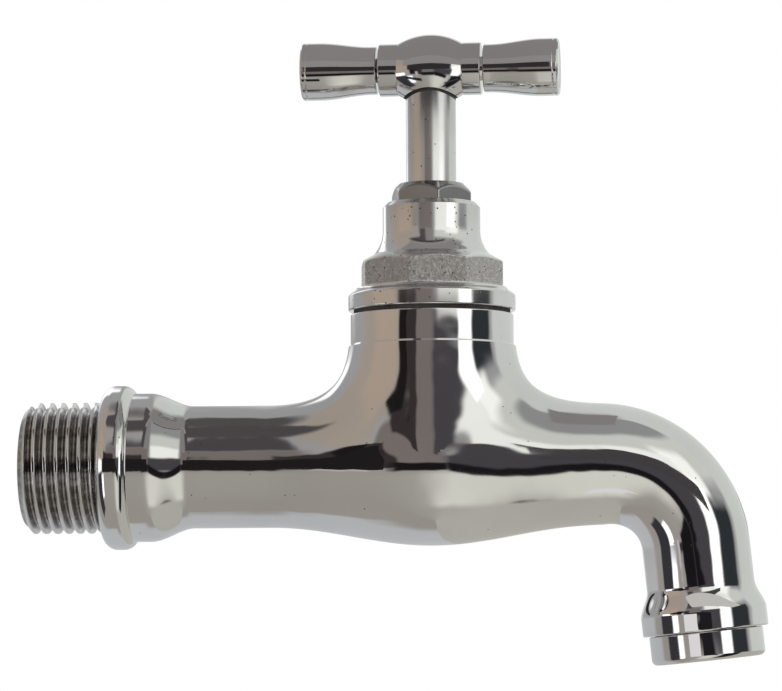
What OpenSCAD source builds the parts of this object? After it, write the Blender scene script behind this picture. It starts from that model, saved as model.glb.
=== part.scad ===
// Wall-mounted compression bib tap with a T-bar handle.
// The inlet axis is +X, the spindle axis is +Z, and the origin lies on the inlet axis at the wall face
// of the collar. The tap is drawn closed, with the rubber washer on its seat.

/* [Inlet] */
// Major diameter of the inlet pipe thread, G 1/2
inlet_thread_d = 20.955; // [19:0.005:24]
// Length of the inlet thread in front of the collar
inlet_thread_len = 12.7; // [9:0.1:18]
// Chamfer at the start of the inlet thread
inlet_chamfer = 1.5; // [0.5:0.1:2.5]
// Wall of the inlet tube
inlet_wall = 3.25; // [2.6:0.05:4.5]
// How much the wall collar stands out over the neck's band
collar_lip = 0.1; // [-0.3:0.05:4]
// Width of the wall collar
collar_w = 4.9; // [4.4:0.1:8]
// Rounding of the collar's two rims
collar_round = 2; // [0.8:0.1:2.1]
// How far the shoulder lies back from the collar's rim
shoulder_inset = 1.25; // [0.85:0.05:1.6]
// Length of the straight shoulder behind the collar
shoulder_len = 2.5; // [1:0.1:5]
// Length of the slope from the shoulder down to the tube
slope_len = 7; // [4:0.1:9]
// Outer diameter of the inlet tube
tube_d = 19.5; // [18:0.1:21]

/* [Casting] */
// Distance from the wall face to the spindle axis
neck_x = 52.5; // [49:0.5:70]
// How much slimmer the belly is than the neck's band, each side
belly_inset = 0.25; // [-0.4:0.05:0.8]
// How far the belly's swelling reaches along the tube, each way
belly_reach = 26; // [22:0.5:27]
// How much the neck stands out under its band
neck_step = 0.1; // [0.05:0.05:1]
// Diameter of the plain band at the top of the neck
neck_band_d = 26; // [25:0.1:28]
// Height of the band's lower edge above the inlet axis
neck_band_z = 20; // [18.5:0.1:21]
// Height of the neck's top face above the inlet axis
neck_top = 24; // [22.5:0.1:30]
// Reach of the blend between the neck and the tube
blend_reach = 9.5; // [7:0.5:12]
// Height over which the belly becomes the neck
neck_settle = 8; // [5:0.5:10]

/* [Spout] */
// Distance from the spindle axis to the start of the bend
spout_run = 27.2; // [26:0.1:45]
// Outer diameter of the spout after the bend
spout_d = 17; // [16:0.1:18.5]
// How far before the bend the spout begins to narrow
taper_lead = 5; // [3:0.5:14]
// Length along the axis over which the spout narrows
taper_len = 24; // [14:0.5:26]
// Centre-line radius of the bend
bend_r = 14.4; // [12:0.1:20]
// Angle of the bend, so that the nozzle leans forward a little
bend_angle = 84.2; // [70:0.1:90]
// Wall of the spout
spout_wall = 2.5; // [2:0.1:3.5]
// How much wider the nozzle's bore is than the spout's, each side
nozzle_step = 0.3; // [0.2:0.05:0.7]
// Straight length of the nozzle after the bend
nozzle_len = 6.4; // [4:0.1:14]
// Length of the nozzle's flare
flare_len = 4.4; // [3:0.1:8]
// Height of the nozzle's collar
nozzle_collar_h = 2.8; // [1.5:0.1:5]
// How much the nozzle's collar stands out over the spout
nozzle_lip = 1.4; // [0.9:0.1:3.5]

/* [Outlet fitting] */
// How far the outlet ring lies back from the nozzle's collar
ring_inset = 0.95; // [0.6:0.05:1.6]
// Height of the outlet ring below the nozzle's collar
ring_h = 4.6; // [3.6:0.1:8]
// Rounding of the outlet ring's lower rim
ring_round = 0.9; // [0.3:0.1:1.1]
// Width of the outlet ring's shoulder round its screwed spigot
ring_shoulder = 1.05; // [0.75:0.05:1.35]
// Length of the outlet ring's spigot
ring_thread_len = 3.5; // [2.4:0.1:4.2]
// Wall of the outlet ring's spigot
ring_wall = 1; // [0.7:0.05:1.4]
// Width of the outlet ring's lower lip
ring_lip = 0.8; // [0.6:0.05:1.9]
// Thickness of the outlet ring's lower lip
ring_lip_t = 1; // [0.6:0.1:1.6]
// Thickness of the aerator gasket
aerator_gasket_t = 1; // [0.6:0.1:1.4]
// Wall of the aerator insert
aerator_wall = 1; // [0.7:0.1:1.5]
// Thickness of the insert's drilled plate
aerator_plate_t = 1.2; // [0.8:0.1:2]
// Diameter of the holes in the insert's plate
aerator_hole_d = 1.3; // [0.8:0.1:1.6]
// Width of the undrilled rim of the insert's plate
aerator_rim = 0.4; // [0.2:0.1:1]
// Pitch of the holes in the insert's plate
aerator_pitch = 2.2; // [2:0.1:3]
// Thickness of the aerator screen
screen_t = 0.4; // [0.3:0.05:0.8]
// Pitch of the screen's mesh
screen_pitch = 1.2; // [1:0.1:2]
// Width of the screen's wires
screen_wire = 0.4; // [0.25:0.05:0.6]

/* [Bonnet] */
// Thickness of the bonnet gasket
bonnet_gasket_t = 0.6; // [0.4:0.1:2]
// How far the bonnet gasket lies back from the band
bonnet_gasket_inset = 0.5; // [0.2:0.1:1]
// How much the bonnet's flange stands out over the neck's band
flange_lip = 0.35; // [0.1:0.05:3]
// Height of the flange's rim
flange_h = 2.3; // [1.5:0.1:4]
// Height of the slope from the rim up to the octagon
flange_slope_h = 1.3; // [0.6:0.1:2]
// Width of the round step that the octagon's corners stand on
octagon_step = 0.15; // [0.1:0.05:0.6]
// How far the octagon's corners lie back from the flange's rim
octagon_inset = 1.45; // [0.8:0.05:2.5]
// Height of the octagon's corners above the flange's slope
octagon_h = 4; // [3:0.1:7]
// Angle of an octagon corner from the front, towards the wall
octagon_turn = 14.5; // [0:0.5:45]
// Height of the chamfer over the octagon
octagon_chamfer_h = 1.4; // [0.8:0.1:2.5]
// Width of the chamfer over the octagon's corners
octagon_chamfer_w = 2.6; // [2.1:0.1:3.2]
// Height of the flare from the chamfer up to the bonnet's neck
bonnet_flare_h = 4; // [2.5:0.1:6]
// Length of the bonnet's straight neck
bonnet_neck_h = 4.4; // [3:0.1:8]
// Chamfer at the top of the bonnet's neck
bonnet_chamfer = 0.8; // [0.3:0.1:1]
// Wall of the neck round the bonnet's thread
neck_wall = 2.6; // [2.2:0.05:3]
// Wall of the stuffing box
stuffing_wall = 2.05; // [1.4:0.05:3]
// Depth of the stuffing box
stuffing_depth = 7.5; // [6.6:0.1:9]
// Thickness of the web between the stuffing box and the spindle's thread
stop_web = 2; // [1.4:0.1:3]

/* [Gland] */
// Width of the packing round the stem
packing_w = 1.75; // [1.3:0.05:2.2]
// Height of one packing ring
packing_h = 1.8; // [1:0.1:2.1]
// Thickness of the gland ring
gland_ring_t = 0.9; // [0.5:0.1:1.4]
// Height of the gland nut's hexagon
gland_nut_h = 3; // [2.4:0.1:6]
// How much the gland nut's flats stand out over the stuffing box
gland_lip = 0.12; // [0.1:0.02:0.8]
// Angle of a gland nut corner from the front, towards the spout
gland_turn = 13; // [0:0.5:60]
// Chamfer at the top of the gland nut
gland_chamfer = 1.6; // [0.5:0.1:2]

/* [Valve] */
// Height of the seat above the inlet axis
seat_z = 3.6; // [3.2:0.1:4.6]
// Diameter of the seat's port
port_d = 10; // [9.2:0.1:10.6]
// Width of the seat's lip
seat_lip = 2; // [1.2:0.1:2.4]
// Height of the seat's lip above the chamber floor
seat_lip_h = 1.4; // [0.8:0.1:1.8]
// Width of the ledge from the bonnet's thread to the valve chamber
chamber_ledge = 0.9; // [0.6:0.05:1.8]
// Thickness of the rubber seat washer
washer_t = 3.5; // [2.5:0.1:4.5]
// Thickness of the jumper's disc
jumper_t = 1.9; // [1.2:0.1:3]
// How far the jumper's disc stands out over the washer
jumper_rim = 0.5; // [0.2:0.1:0.9]
// Wall of the spindle round the jumper's pin
pin_wall = 2.6; // [2:0.1:3.5]
// Length of the jumper's pin
jumper_pin_len = 11; // [6:0.5:13]
// Diameter of the jumper's lower stud
stud_d = 4; // [3:0.1:5]
// How far the stud stands out below the washer nut
stud_over = 0.6; // [0.3:0.1:1]
// Gap between the washer plate and the seat's port
plate_gap = 1; // [0.7:0.1:2]
// Thickness of the washer plate
plate_t = 0.6; // [0.4:0.1:1]
// How far the washer nut's flats lie back from the washer plate's rim
nut_inset = 0.5; // [0.3:0.1:1.1]
// Height of the washer nut
nut_h = 2.6; // [2:0.1:3]

/* [Spindle] */
// Diameter of the stem
stem_d = 8; // [7.6:0.1:9]
// How much the spindle's screwed part stands out over the stem
spindle_step = 1.5; // [0.9:0.1:2]
// Rise of the spindle for one turn of the handle
thread_pitch = 2.5; // [1.5:0.1:3]
// Turns from closed to fully open
turns = 2.25; // [1:0.25:2.5]
// Depth of the flats that square the stem's end
square_cut = 1.2; // [1.1:0.05:1.7]

/* [Handle] */
// Height of the bar's axis above the gland nut
bar_rise = 18.6; // [15:0.1:30]
// Length of the T-bar
bar_len = 41.4; // [34:0.1:70]
// Angle of the bar at rest, its spout end towards the front
bar_turn = 2; // [-90:1:90]
// How much the barrel in the middle of the bar stands out over the stem
hub_over = 1.6; // [1.1:0.1:2.5]
// Radius of the barrel's crowned side
hub_crown_r = 10; // [8:0.5:20]
// Length of the barrel beyond the stem, each way
hub_cheek = 1.2; // [0.8:0.1:2.5]
// How far the collars beside the barrel lie back from its crown
hub_collar_inset = 1.4; // [1.2:0.1:2.1]
// Length of a collar beside the barrel
hub_collar_len = 3; // [2.1:0.1:4.8]
// How far an arm's root lies back from the hub's collar
arm_root_inset = 0.35; // [0:0.05:1]
// How much an arm widens towards its end
arm_flare = 0.75; // [0:0.05:2]
// Length of the plain stretch of an arm beside the hub
arm_neck = 1; // [0.5:0.1:3]
// Length of the plain stretch at an arm's end
arm_land = 3; // [1.5:0.1:6]
// Chamfer at an arm's end
arm_chamfer = 0.6; // [0.3:0.1:1.2]
// Width of the groove between an arm and the hub
arm_groove = 0.4; // [0.2:0.1:1]
// Width of the arm's shoulder round its screwed stud
arm_shoulder = 1.85; // [1.4:0.05:2.3]
// Length of the stud inside the hub
arm_stud_len = 4; // [2.5:0.1:4.2]
// Height of the stem's shoulder below the bar's axis
hub_seat_drop = 3; // [2:0.1:3.6]
// Height of the stem's squared end
square_h = 5.4; // [4:0.1:6.2]
// Diameter of the set screw at the back of the hub
set_screw_d = 4; // [3:0.1:4.6]
// How far the set screw lies below the hub's surface
set_screw_inset = 0.4; // [0.2:0.1:1]
// Depth of the set screw's hexagon socket
set_screw_key_depth = 1.4; // [0.8:0.1:1.6]
// Size of the set screw's hexagon socket across its flats
set_screw_key = 2; // [1.5:0.1:2.4]

/* [Clearances] */
// Radial clearance of pieces that turn or slide in each other
run_gap = 0.05; // [0.02:0.01:0.1]
// Radial clearance of screwed and dropped-in pieces
fit_gap = 0.05; // [0.02:0.01:0.15]
// Clearance left at the end of the valve's travel
stop_gap = 0.4; // [0.2:0.1:1]
// Gap round the stem where it enters the hub
hub_mouth_gap = 0.35; // [0.2:0.05:0.6]

/* [Hidden] */

// Fineness of circles, and of curves in a profile
$fn = 96;
ARC_STEPS = 8;
// Overlap of cutting shapes past the faces that they cut
OVER = 1;

CHROME = [0.80, 0.80, 0.80];
ROUGH_CHROME = [0.62, 0.62, 0.60];
BRASS = [0.78, 0.63, 0.34];
RUBBER = [0.10, 0.10, 0.10];
FIBRE = [0.20, 0.17, 0.15];
PACKING = [0.86, 0.85, 0.80];
PLASTIC = [0.90, 0.90, 0.88];
STEEL = [0.66, 0.67, 0.68];

// Facets of the lofted casting
HALF_STEPS = 18;
LEFT_STEPS = 5;
WING_STEPS = 26;
RIGHT_STEPS = 5;
BEND_STEPS = 12;
NECK_STEPS = 8;
// The loft lies this far inside the turned ends where they overlap
LOFT_INSET = 0.05;
// Length of those overlaps
LOFT_LAP = 4;
// Halvings when a point of the blended surface is looked for
HALVINGS = 22;
// Height above the tube where the tube's sections end and the neck's rings begin
SEAM_RISE = 1.75;
// Farther out than any point of the casting is from the axis that it is looked for from
FAR = 60;

// Plain tube left between the inlet's slope and the loft
LOFT_LEAD = 5;
// The rings of the neck lie closer together at its foot by this power
RING_POWER = 1.5;
// Power of the hollow curve between the octagon and the bonnet's neck
FLARE_POWER = 2.2;
// Smallest value that a divisor may take
TINY = 0.001;

// Waterway: the dip from the inlet to the well under the seat, and the outflow from the chamber
DIP_D = 9.6;
DIP_START = 22.5;
DIP_START_Z = -0.5;
DIP_END = 4.5;
DIP_END_Z = -6.2;
DIP_LAP = 4;
WELL_D = 11.6;
WELL_Z = -4.6;
OUTFLOW_D = 11;
OUTFLOW_START = 3.5;
OUTFLOW_RISE = 4.8;
OUTFLOW_LEAD = 4.5;

// Diameters of the casting, which follow the neck's band
neck_d = neck_band_d + 2 * neck_step;
belly_d = neck_band_d - 2 * belly_inset;
collar_d = neck_band_d + 2 * collar_lip;
shoulder_d = collar_d - 2 * shoulder_inset;
inlet_bore_d = tube_d - 2 * inlet_wall;

// Diameters of the outlet, which follow the spout
spout_bore_d = spout_d - 2 * spout_wall;
nozzle_bore_d = spout_bore_d + 2 * nozzle_step;
nozzle_collar_d = spout_d + 2 * nozzle_lip;
ring_d = nozzle_collar_d - 2 * ring_inset;
ring_thread_d = ring_d - 2 * ring_shoulder;
ring_bore_d = ring_thread_d - 2 * ring_wall;
ring_lip_d = ring_bore_d - 2 * ring_lip;

// Diameters of the bonnet, which follow the neck's band
flange_d = neck_band_d + 2 * flange_lip;
octagon_r = flange_d / 2 - octagon_inset;
octagon_flats = 2 * octagon_r * cos(180 / 8);
octagon_top_r = octagon_r - octagon_chamfer_w;
bonnet_thread_d = neck_band_d - 2 * neck_wall;
chamber_d = bonnet_thread_d - 2 * chamber_ledge;

// Widths of the spindle, the handle and the pieces on the seat, which follow the stem and the port
spindle_thread_d = stem_d + 2 * spindle_step;
jumper_pin_d = spindle_thread_d - 2 * pin_wall;
square_w = stem_d - 2 * square_cut;
plate_d = port_d - 2 * plate_gap;
nut_flats = plate_d - 2 * nut_inset;
hub_d = stem_d + 2 * hub_over;
hub_len = stem_d + 2 * hub_cheek;
hub_span = hub_len + 2 * hub_collar_len;
hub_collar_d = hub_d - 2 * hub_collar_inset;
arm_root_d = hub_collar_d - 2 * arm_root_inset;
arm_end_d = arm_root_d + 2 * arm_flare;
arm_stud_d = arm_root_d - 2 * arm_shoulder;

// Inlet end, along X
shoulder_x = collar_w;
slope_x = shoulder_x + shoulder_len;
slope_end = slope_x + slope_len;
loft_x = slope_end + LOFT_LEAD;
turned_x = loft_x + LOFT_LAP;

// Spout, along X and along its own axis
bend_x = neck_x + spout_run;
taper_s = bend_x - taper_lead;
bend_len = bend_r * bend_angle * PI / 180;
bend_end_x = bend_x + bend_r * sin(bend_angle);
bend_end_z = bend_r * (cos(bend_angle) - 1);
flare_s = nozzle_len;
nozzle_collar_s = flare_s + flare_len;
nozzle_end_s = nozzle_collar_s + nozzle_collar_h;
seam_z = tube_d / 2 + SEAM_RISE;

// Outlet fitting, along the nozzle's axis
ring_end_s = nozzle_end_s + ring_h;
spigot_s = nozzle_end_s - ring_thread_len;
socket_s = spigot_s - aerator_gasket_t;
screen_s = ring_end_s - ring_lip_t - screen_t;
aerator_d = ring_bore_d - 2 * fit_gap;

// Valve, along Z
seat_d = port_d + 2 * seat_lip;
floor_z = seat_z - seat_lip_h;
lift = turns * thread_pitch;
washer_top = seat_z + washer_t;
jumper_d = seat_d + 2 * jumper_rim;
jumper_top = washer_top + jumper_t;
jumper_pin_top = jumper_top + jumper_pin_len;
plate_z = seat_z - plate_t;
nut_z = plate_z - nut_h;
stud_end = nut_z - stud_over;

// Bonnet, along Z
flange_z = neck_top + bonnet_gasket_t;
rim_z = flange_z + flange_h;
octagon_z = rim_z + flange_slope_h;
octagon_corner_z = octagon_z + octagon_h;
flare_z = octagon_corner_z + octagon_chamfer_h;
bonnet_neck_z = flare_z + bonnet_flare_h;
bonnet_top = bonnet_neck_z + bonnet_neck_h;
bonnet_bottom = jumper_top + lift + stop_gap;
stuffing_d = stem_d + 2 * packing_w;
stuffing_z = bonnet_top - stuffing_depth;
stop_z = stuffing_z - stop_web;
bonnet_neck_r = stuffing_d / 2 + stuffing_wall;

// Gland, along Z
packing_upper_z = stuffing_z + packing_h;
gland_ring_z = packing_upper_z + packing_h;
gland_spigot_z = gland_ring_z + gland_ring_t;
gland_top = bonnet_top + gland_nut_h;
gland_flats = stuffing_d + 2 * gland_lip;

// Spindle and handle, along Z
spindle_z = jumper_top + run_gap;
spindle_thread_top = stop_z - lift - stop_gap;
bar_z = gland_top + bar_rise;
stem_top = bar_z - hub_seat_drop;
square_top = stem_top + square_h;
arm_x = hub_span / 2 + arm_groove;
set_screw_end = square_w / 2 + 2 * fit_gap;
set_screw_head = hub_d / 2 - set_screw_inset;

function smooth(t) = let (c = max(0, min(1, t))) c * c * (3 - 2 * c);
function hypot(a, b) = sqrt(a * a + b * b);
function arc(centre, r, from, to, steps = ARC_STEPS) =
    [for (i = [0:steps]) let (a = from + (to - from) * i / steps) centre + r * [cos(a), sin(a)]];
// A soft step between two points of a profile, level at both ends
function ogee(from, to, steps = ARC_STEPS) =
    [
        for (i = [0:steps])
        let (t = i / steps)
        [from.x + (to.x - from.x) * smooth(t), from.y + (to.y - from.y) * t]
    ];

// Radius of the tube and belly at a distance along the axis, before the neck is blended in
function swell(s) =
    let (u = abs(s - neck_x))
    u < belly_reach ? (1 + cos(180 * u / belly_reach)) / 2 : 0;
function tube_r(s) =
    tube_d / 2 - LOFT_INSET
    + (belly_d - tube_d) / 2 * swell(s)
    - (tube_d - spout_d) / 2 * smooth((s - taper_s) / taper_len);
function neck_r(z) = belly_d / 2 + (neck_d - belly_d) / 2 * smooth(z / neck_settle);

// Negative inside the tee and positive outside it. The blend between tube and neck fades out where
// the two surfaces run side by side, so that the belly isn't swollen by it.
function tee(p) =
    let (
        from_tube = hypot(p.y, p.z),
        from_neck = hypot(p.x - neck_x, p.y),
        a = from_tube - tube_r(p.x),
        b = from_neck - neck_r(p.z),
        alike = p.y * p.y / max(from_tube * from_neck, TINY),
        reach = max(blend_reach * (1 - alike), TINY),
        near = max(reach - abs(a - b), 0) / reach
    )
    min(a, b) - near * near * reach / 4;
// Distance from a point inside the tee to its surface, along a direction
function to_surface(from, way, low, high, n = HALVINGS) =
    n == 0 ? (low + high) / 2
    : let (mid = (low + high) / 2)
        tee(from + mid * way) < 0 ? to_surface(from, way, mid, high, n - 1)
        : to_surface(from, way, low, mid, n - 1);
// Where the ridge of the blend meets the seam plane, between a place outside and one inside the neck
function wing_tip(outside, inside, n = HALVINGS) =
    n == 0 ? (outside + inside) / 2
    : let (mid = (outside + inside) / 2)
        tee([mid, 0, seam_z]) < 0 ? wing_tip(outside, mid, n - 1)
        : wing_tip(mid, inside, n - 1);

left_tip = wing_tip(loft_x, neck_x - neck_d / 4);
right_tip = wing_tip(bend_x, neck_x + neck_d / 4);

// The stations of the loft: [x, open at the seam] on the straight run
left_run = [for (i = [0:LEFT_STEPS]) [loft_x + (left_tip - loft_x) * i / LEFT_STEPS, false]];
wing_run = [
    for (i = [1:WING_STEPS - 1])
    [left_tip + (right_tip - left_tip) * (1 - cos(180 * i / WING_STEPS)) / 2, true]
];
right_run = [for (i = [0:RIGHT_STEPS]) [right_tip + (bend_x - right_tip) * i / RIGHT_STEPS, false]];
straight_run = concat(left_run, wing_run, right_run);

function seam_y(x) = to_surface([x, 0, seam_z], [0, 1, 0], 0, FAR);
function top_angle(station) = station[1] ? atan2(seam_z, seam_y(station.x)) : 90;
// One half of a section, from the bottom up, on the side that the sign gives
function half_section(station, side) =
    let (x = station.x, end = top_angle(station), centre = [x, 0, 0])
    [
        for (j = [0:HALF_STEPS])
        let (
            a = -90 + (end + 90) * j / HALF_STEPS,
            way = [0, side * cos(a), sin(a)],
            r = a <= 0 ? tube_r(x) : to_surface(centre, way, tube_r(x) / 2, FAR)
        )
        centre + r * way
    ];
// One half of a section square to the spout's axis, at an angle of the bend and a distance past it
function half_bend(angle, past, side) =
    let (
        up = [sin(angle), 0, cos(angle)],
        ahead = [cos(angle), 0, -sin(angle)],
        centre = [bend_x, 0, -bend_r] + bend_r * up + past * ahead,
        r = tube_r(bend_x + bend_r * angle * PI / 180 + past)
    )
    [
        for (j = [0:HALF_STEPS])
        let (a = -90 + 180 * j / HALF_STEPS)
        centre + r * (side * cos(a) * [0, 1, 0] + sin(a) * up)
    ];
// A whole section: the front half, then the back half without the points that the two share
function section(front, back, open) =
    concat(front, [for (j = [1:HALF_STEPS - (open ? 0 : 1)]) back[j]]);

straight_sections = [
    for (station = straight_run)
    section(half_section(station, -1), half_section(station, 1), station[1])
];
bend_sections = [
    for (i = [1:BEND_STEPS])
    let (a = bend_angle * i / BEND_STEPS)
    section(half_bend(a, 0, -1), half_bend(a, 0, 1), false)
];
nozzle_section = section(half_bend(bend_angle, LOFT_LAP, -1), half_bend(bend_angle, LOFT_LAP, 1), false);
sections = concat(straight_sections, bend_sections, [nozzle_section]);
last = len(sections) - 1;
wing_from = LEFT_STEPS;
wing_to = LEFT_STEPS + WING_STEPS;

// Place of each section's first point in the loft's list of points
starts = [for (i = 0, n = 0; i <= last + 1; n = n + (i <= last ? len(sections[i]) : 0), i = i + 1) n];
function front(i, j) = starts[i] + j;
function is_open(i) = i > wing_from && i < wing_to;
function back(i, j) =
    j == 0 || (j == HALF_STEPS && !is_open(i)) ? front(i, j) : starts[i] + HALF_STEPS + j;

// The seam round the foot of the neck, anticlockwise from the wall side
seam = concat(
    [for (i = [wing_from:wing_to]) front(i, HALF_STEPS)],
    [for (i = [wing_to - 1:-1:wing_from + 1]) back(i, HALF_STEPS)]
);
tube_points = [for (s = sections) each s];
neck_points = [
    for (k = [1:NECK_STEPS])
    let (z = seam_z + (neck_band_z - seam_z) * pow(k / NECK_STEPS, RING_POWER))
    for (v = seam)
    let (p = tube_points[v], a = atan2(p.y, p.x - neck_x), way = [cos(a), sin(a), 0])
    [neck_x, 0, z] + to_surface([neck_x, 0, z], way, neck_band_d / 4, FAR) * way
];
function neck(k, q) =
    let (w = q % len(seam))
    k == 0 ? seam[w] : len(tube_points) + (k - 1) * len(seam) + w;

// Two triangles of a four-sided patch
function patch(a, b, c, d) = [[a, b, c], [a, c, d]];
tube_faces = [
    for (i = [0:last - 1], j = [0:HALF_STEPS - 1])
    each concat(
        patch(front(i, j), front(i, j + 1), front(i + 1, j + 1), front(i + 1, j)),
        patch(back(i, j), back(i + 1, j), back(i + 1, j + 1), back(i, j + 1))
    )
];
neck_faces = [
    for (k = [0:NECK_STEPS - 1], q = [0:len(seam) - 1])
    each patch(neck(k, q), neck(k + 1, q), neck(k + 1, q + 1), neck(k, q + 1))
];
function rim(i) = concat(
    [for (j = [0:HALF_STEPS]) front(i, j)],
    [for (j = [HALF_STEPS - 1:-1:1]) back(i, j)]
);
function reversed(list) = [for (i = [len(list) - 1:-1:0]) list[i]];
end_faces = [
    reversed(rim(0)),
    rim(last),
    [for (q = [len(seam) - 1:-1:0]) neck(NECK_STEPS, q)]
];

// A cylinder between two points of the XZ plane
module rod(from, to, d) {
    run = to - from;
    translate([from.x, 0, from.y])
        rotate([0, atan2(run.x, run.y), 0])
            cylinder(d = d, h = norm(run));
}

module ring(z, h, outer, inner) {
    translate([0, 0, z])
        difference() {
            cylinder(d = outer, h = h);
            translate([0, 0, -OVER])
                cylinder(d = inner, h = h + 2 * OVER);
        }
}

module prism(flats, h, sides) {
    cylinder(r = flats / 2 / cos(180 / sides), h = h, $fn = sides);
}

module on_spindle() {
    translate([neck_x, 0, 0])
        children();
}

module on_nozzle() {
    translate([bend_end_x, 0, bend_end_z])
        rotate([0, 90 + bend_angle, 0])
            children();
}

module on_bar() {
    translate([neck_x, 0, bar_z])
        rotate([0, 0, -bar_turn])
            children();
}

// Turned inlet end: thread, wall collar, shoulder and the slope to the tube
module inlet_end() {
    thread_r = inlet_thread_d / 2;
    collar_r = collar_d / 2;
    shoulder_r = shoulder_d / 2;
    rim_r = collar_r - collar_round;
    round_end = acos(max(-1, min(1, (shoulder_r - rim_r) / collar_round)));
    rotate([0, 90, 0])
        rotate_extrude()
            polygon(concat(
                [[0, -inlet_thread_len], [thread_r - inlet_chamfer, -inlet_thread_len]],
                [[thread_r, inlet_chamfer - inlet_thread_len], [thread_r, 0]],
                arc([rim_r, collar_round], collar_round, -90, 0),
                arc([rim_r, collar_w - collar_round * sin(round_end)], collar_round, 0, round_end),
                ogee([shoulder_r, slope_x], [tube_d / 2, slope_end], 2 * ARC_STEPS),
                [[tube_d / 2, turned_x], [0, turned_x]]
            ));
}

// The blended tee, belly and bent spout
module tee_loft() {
    polyhedron(
        points = concat(tube_points, neck_points),
        faces = concat(tube_faces, neck_faces, end_faces),
        convexity = 8
    );
}

// Turned nozzle end: straight, flare and collar
module nozzle_end() {
    collar_r = nozzle_collar_d / 2;
    on_nozzle()
        rotate_extrude()
            polygon(concat(
                [[0, 0], [spout_d / 2, 0]],
                ogee([spout_d / 2, flare_s], [collar_r, nozzle_collar_s]),
                [[collar_r, nozzle_end_s], [0, nozzle_end_s]]
            ));
}

// The way of the water: inlet, weir, seat, chamber, spout, and the sockets for bonnet and outlet ring
module waterway() {
    dip_from = [neck_x - DIP_START, DIP_START_Z];
    dip_to = [neck_x - DIP_END, DIP_END_Z];
    over_from = [neck_x + OUTFLOW_START, floor_z + OUTFLOW_RISE];
    over_to = [bend_x - OUTFLOW_LEAD, 0];
    rod([-inlet_thread_len - OVER, 0], [dip_from.x + DIP_LAP, 0], inlet_bore_d);
    rod(dip_from, dip_to, DIP_D);
    translate([neck_x, 0, WELL_Z])
        sphere(d = WELL_D);
    rod([neck_x, WELL_Z], [neck_x, seat_z + OVER], port_d);
    difference() {
        rod([neck_x, floor_z], [neck_x, bonnet_bottom], chamber_d);
        rod([neck_x, floor_z - OVER], [neck_x, seat_z], seat_d);
    }
    rod([neck_x, bonnet_bottom - stop_gap], [neck_x, neck_top + OVER], bonnet_thread_d + 2 * fit_gap);
    rod(over_from, over_to, OUTFLOW_D);
    rod(over_to - [OVER, 0], [bend_x, 0], spout_bore_d);
    translate([bend_x, 0, -bend_r])
        rotate(-120, [1, 1, 1])
            rotate_extrude(angle = bend_angle)
                translate([bend_r, 0])
                    circle(d = spout_bore_d);
    on_nozzle() {
        translate([0, 0, -OVER])
            cylinder(d = nozzle_bore_d, h = nozzle_end_s + OVER);
        translate([0, 0, socket_s])
            cylinder(d = ring_thread_d + 2 * fit_gap, h = nozzle_end_s - socket_s + OVER);
    }
}

module body_casting() {
    color(CHROME)
        difference() {
            union() {
                inlet_end();
                tee_loft();
                translate([neck_x, 0, seam_z])
                    cylinder(d = neck_band_d, h = neck_top - seam_z);
                nozzle_end();
            }
            waterway();
        }
}

// Flange, chamfered octagon, flare and neck, over the male thread that goes into the casting
module bonnet() {
    rim_r = flange_d / 2;
    step_r = octagon_r + octagon_step;
    chamfer_slope = octagon_chamfer_h / octagon_chamfer_w;
    color(ROUGH_CHROME)
        on_spindle()
            difference() {
                union() {
                    translate([0, 0, bonnet_bottom])
                        cylinder(d = bonnet_thread_d, h = rim_z - bonnet_bottom);
                    rotate_extrude()
                        polygon(concat(
                            [[0, flange_z], [rim_r, flange_z]],
                            ogee([rim_r, rim_z], [step_r, octagon_z]),
                            [[0, octagon_z]]
                        ));
                    intersection() {
                        rotate([0, 0, -90 - octagon_turn])
                            translate([0, 0, rim_z])
                                prism(octagon_flats, bonnet_top - rim_z, 8);
                        rotate_extrude()
                            polygon(concat(
                                [[0, rim_z - OVER], [octagon_r + OVER, rim_z - OVER]],
                                [[octagon_r + OVER, octagon_corner_z - OVER * chamfer_slope]],
                                bonnet_flare(),
                                [[bonnet_neck_r, bonnet_top - bonnet_chamfer]],
                                [[bonnet_neck_r - bonnet_chamfer, bonnet_top], [0, bonnet_top]]
                            ));
                    }
                }
                translate([0, 0, bonnet_bottom - OVER])
                    cylinder(d = spindle_thread_d + 2 * run_gap, h = stop_z - bonnet_bottom + OVER);
                translate([0, 0, stop_z - OVER])
                    cylinder(d = stem_d + 2 * run_gap, h = stop_web + 2 * OVER);
                translate([0, 0, stuffing_z])
                    cylinder(d = stuffing_d, h = stuffing_depth + OVER);
            }
}

// Hollow curve from the octagon's chamfer up to the neck, upright at the neck
function bonnet_flare() = [
    for (i = [0:ARC_STEPS])
    let (t = i / ARC_STEPS)
    [bonnet_neck_r + (octagon_top_r - bonnet_neck_r) * pow(1 - t, FLARE_POWER), flare_z + bonnet_flare_h * t]
];

module bonnet_gasket() {
    color(FIBRE)
        on_spindle()
            ring(
                neck_top, bonnet_gasket_t,
                neck_band_d - 2 * bonnet_gasket_inset, bonnet_thread_d + 2 * fit_gap
            );
}

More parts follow.
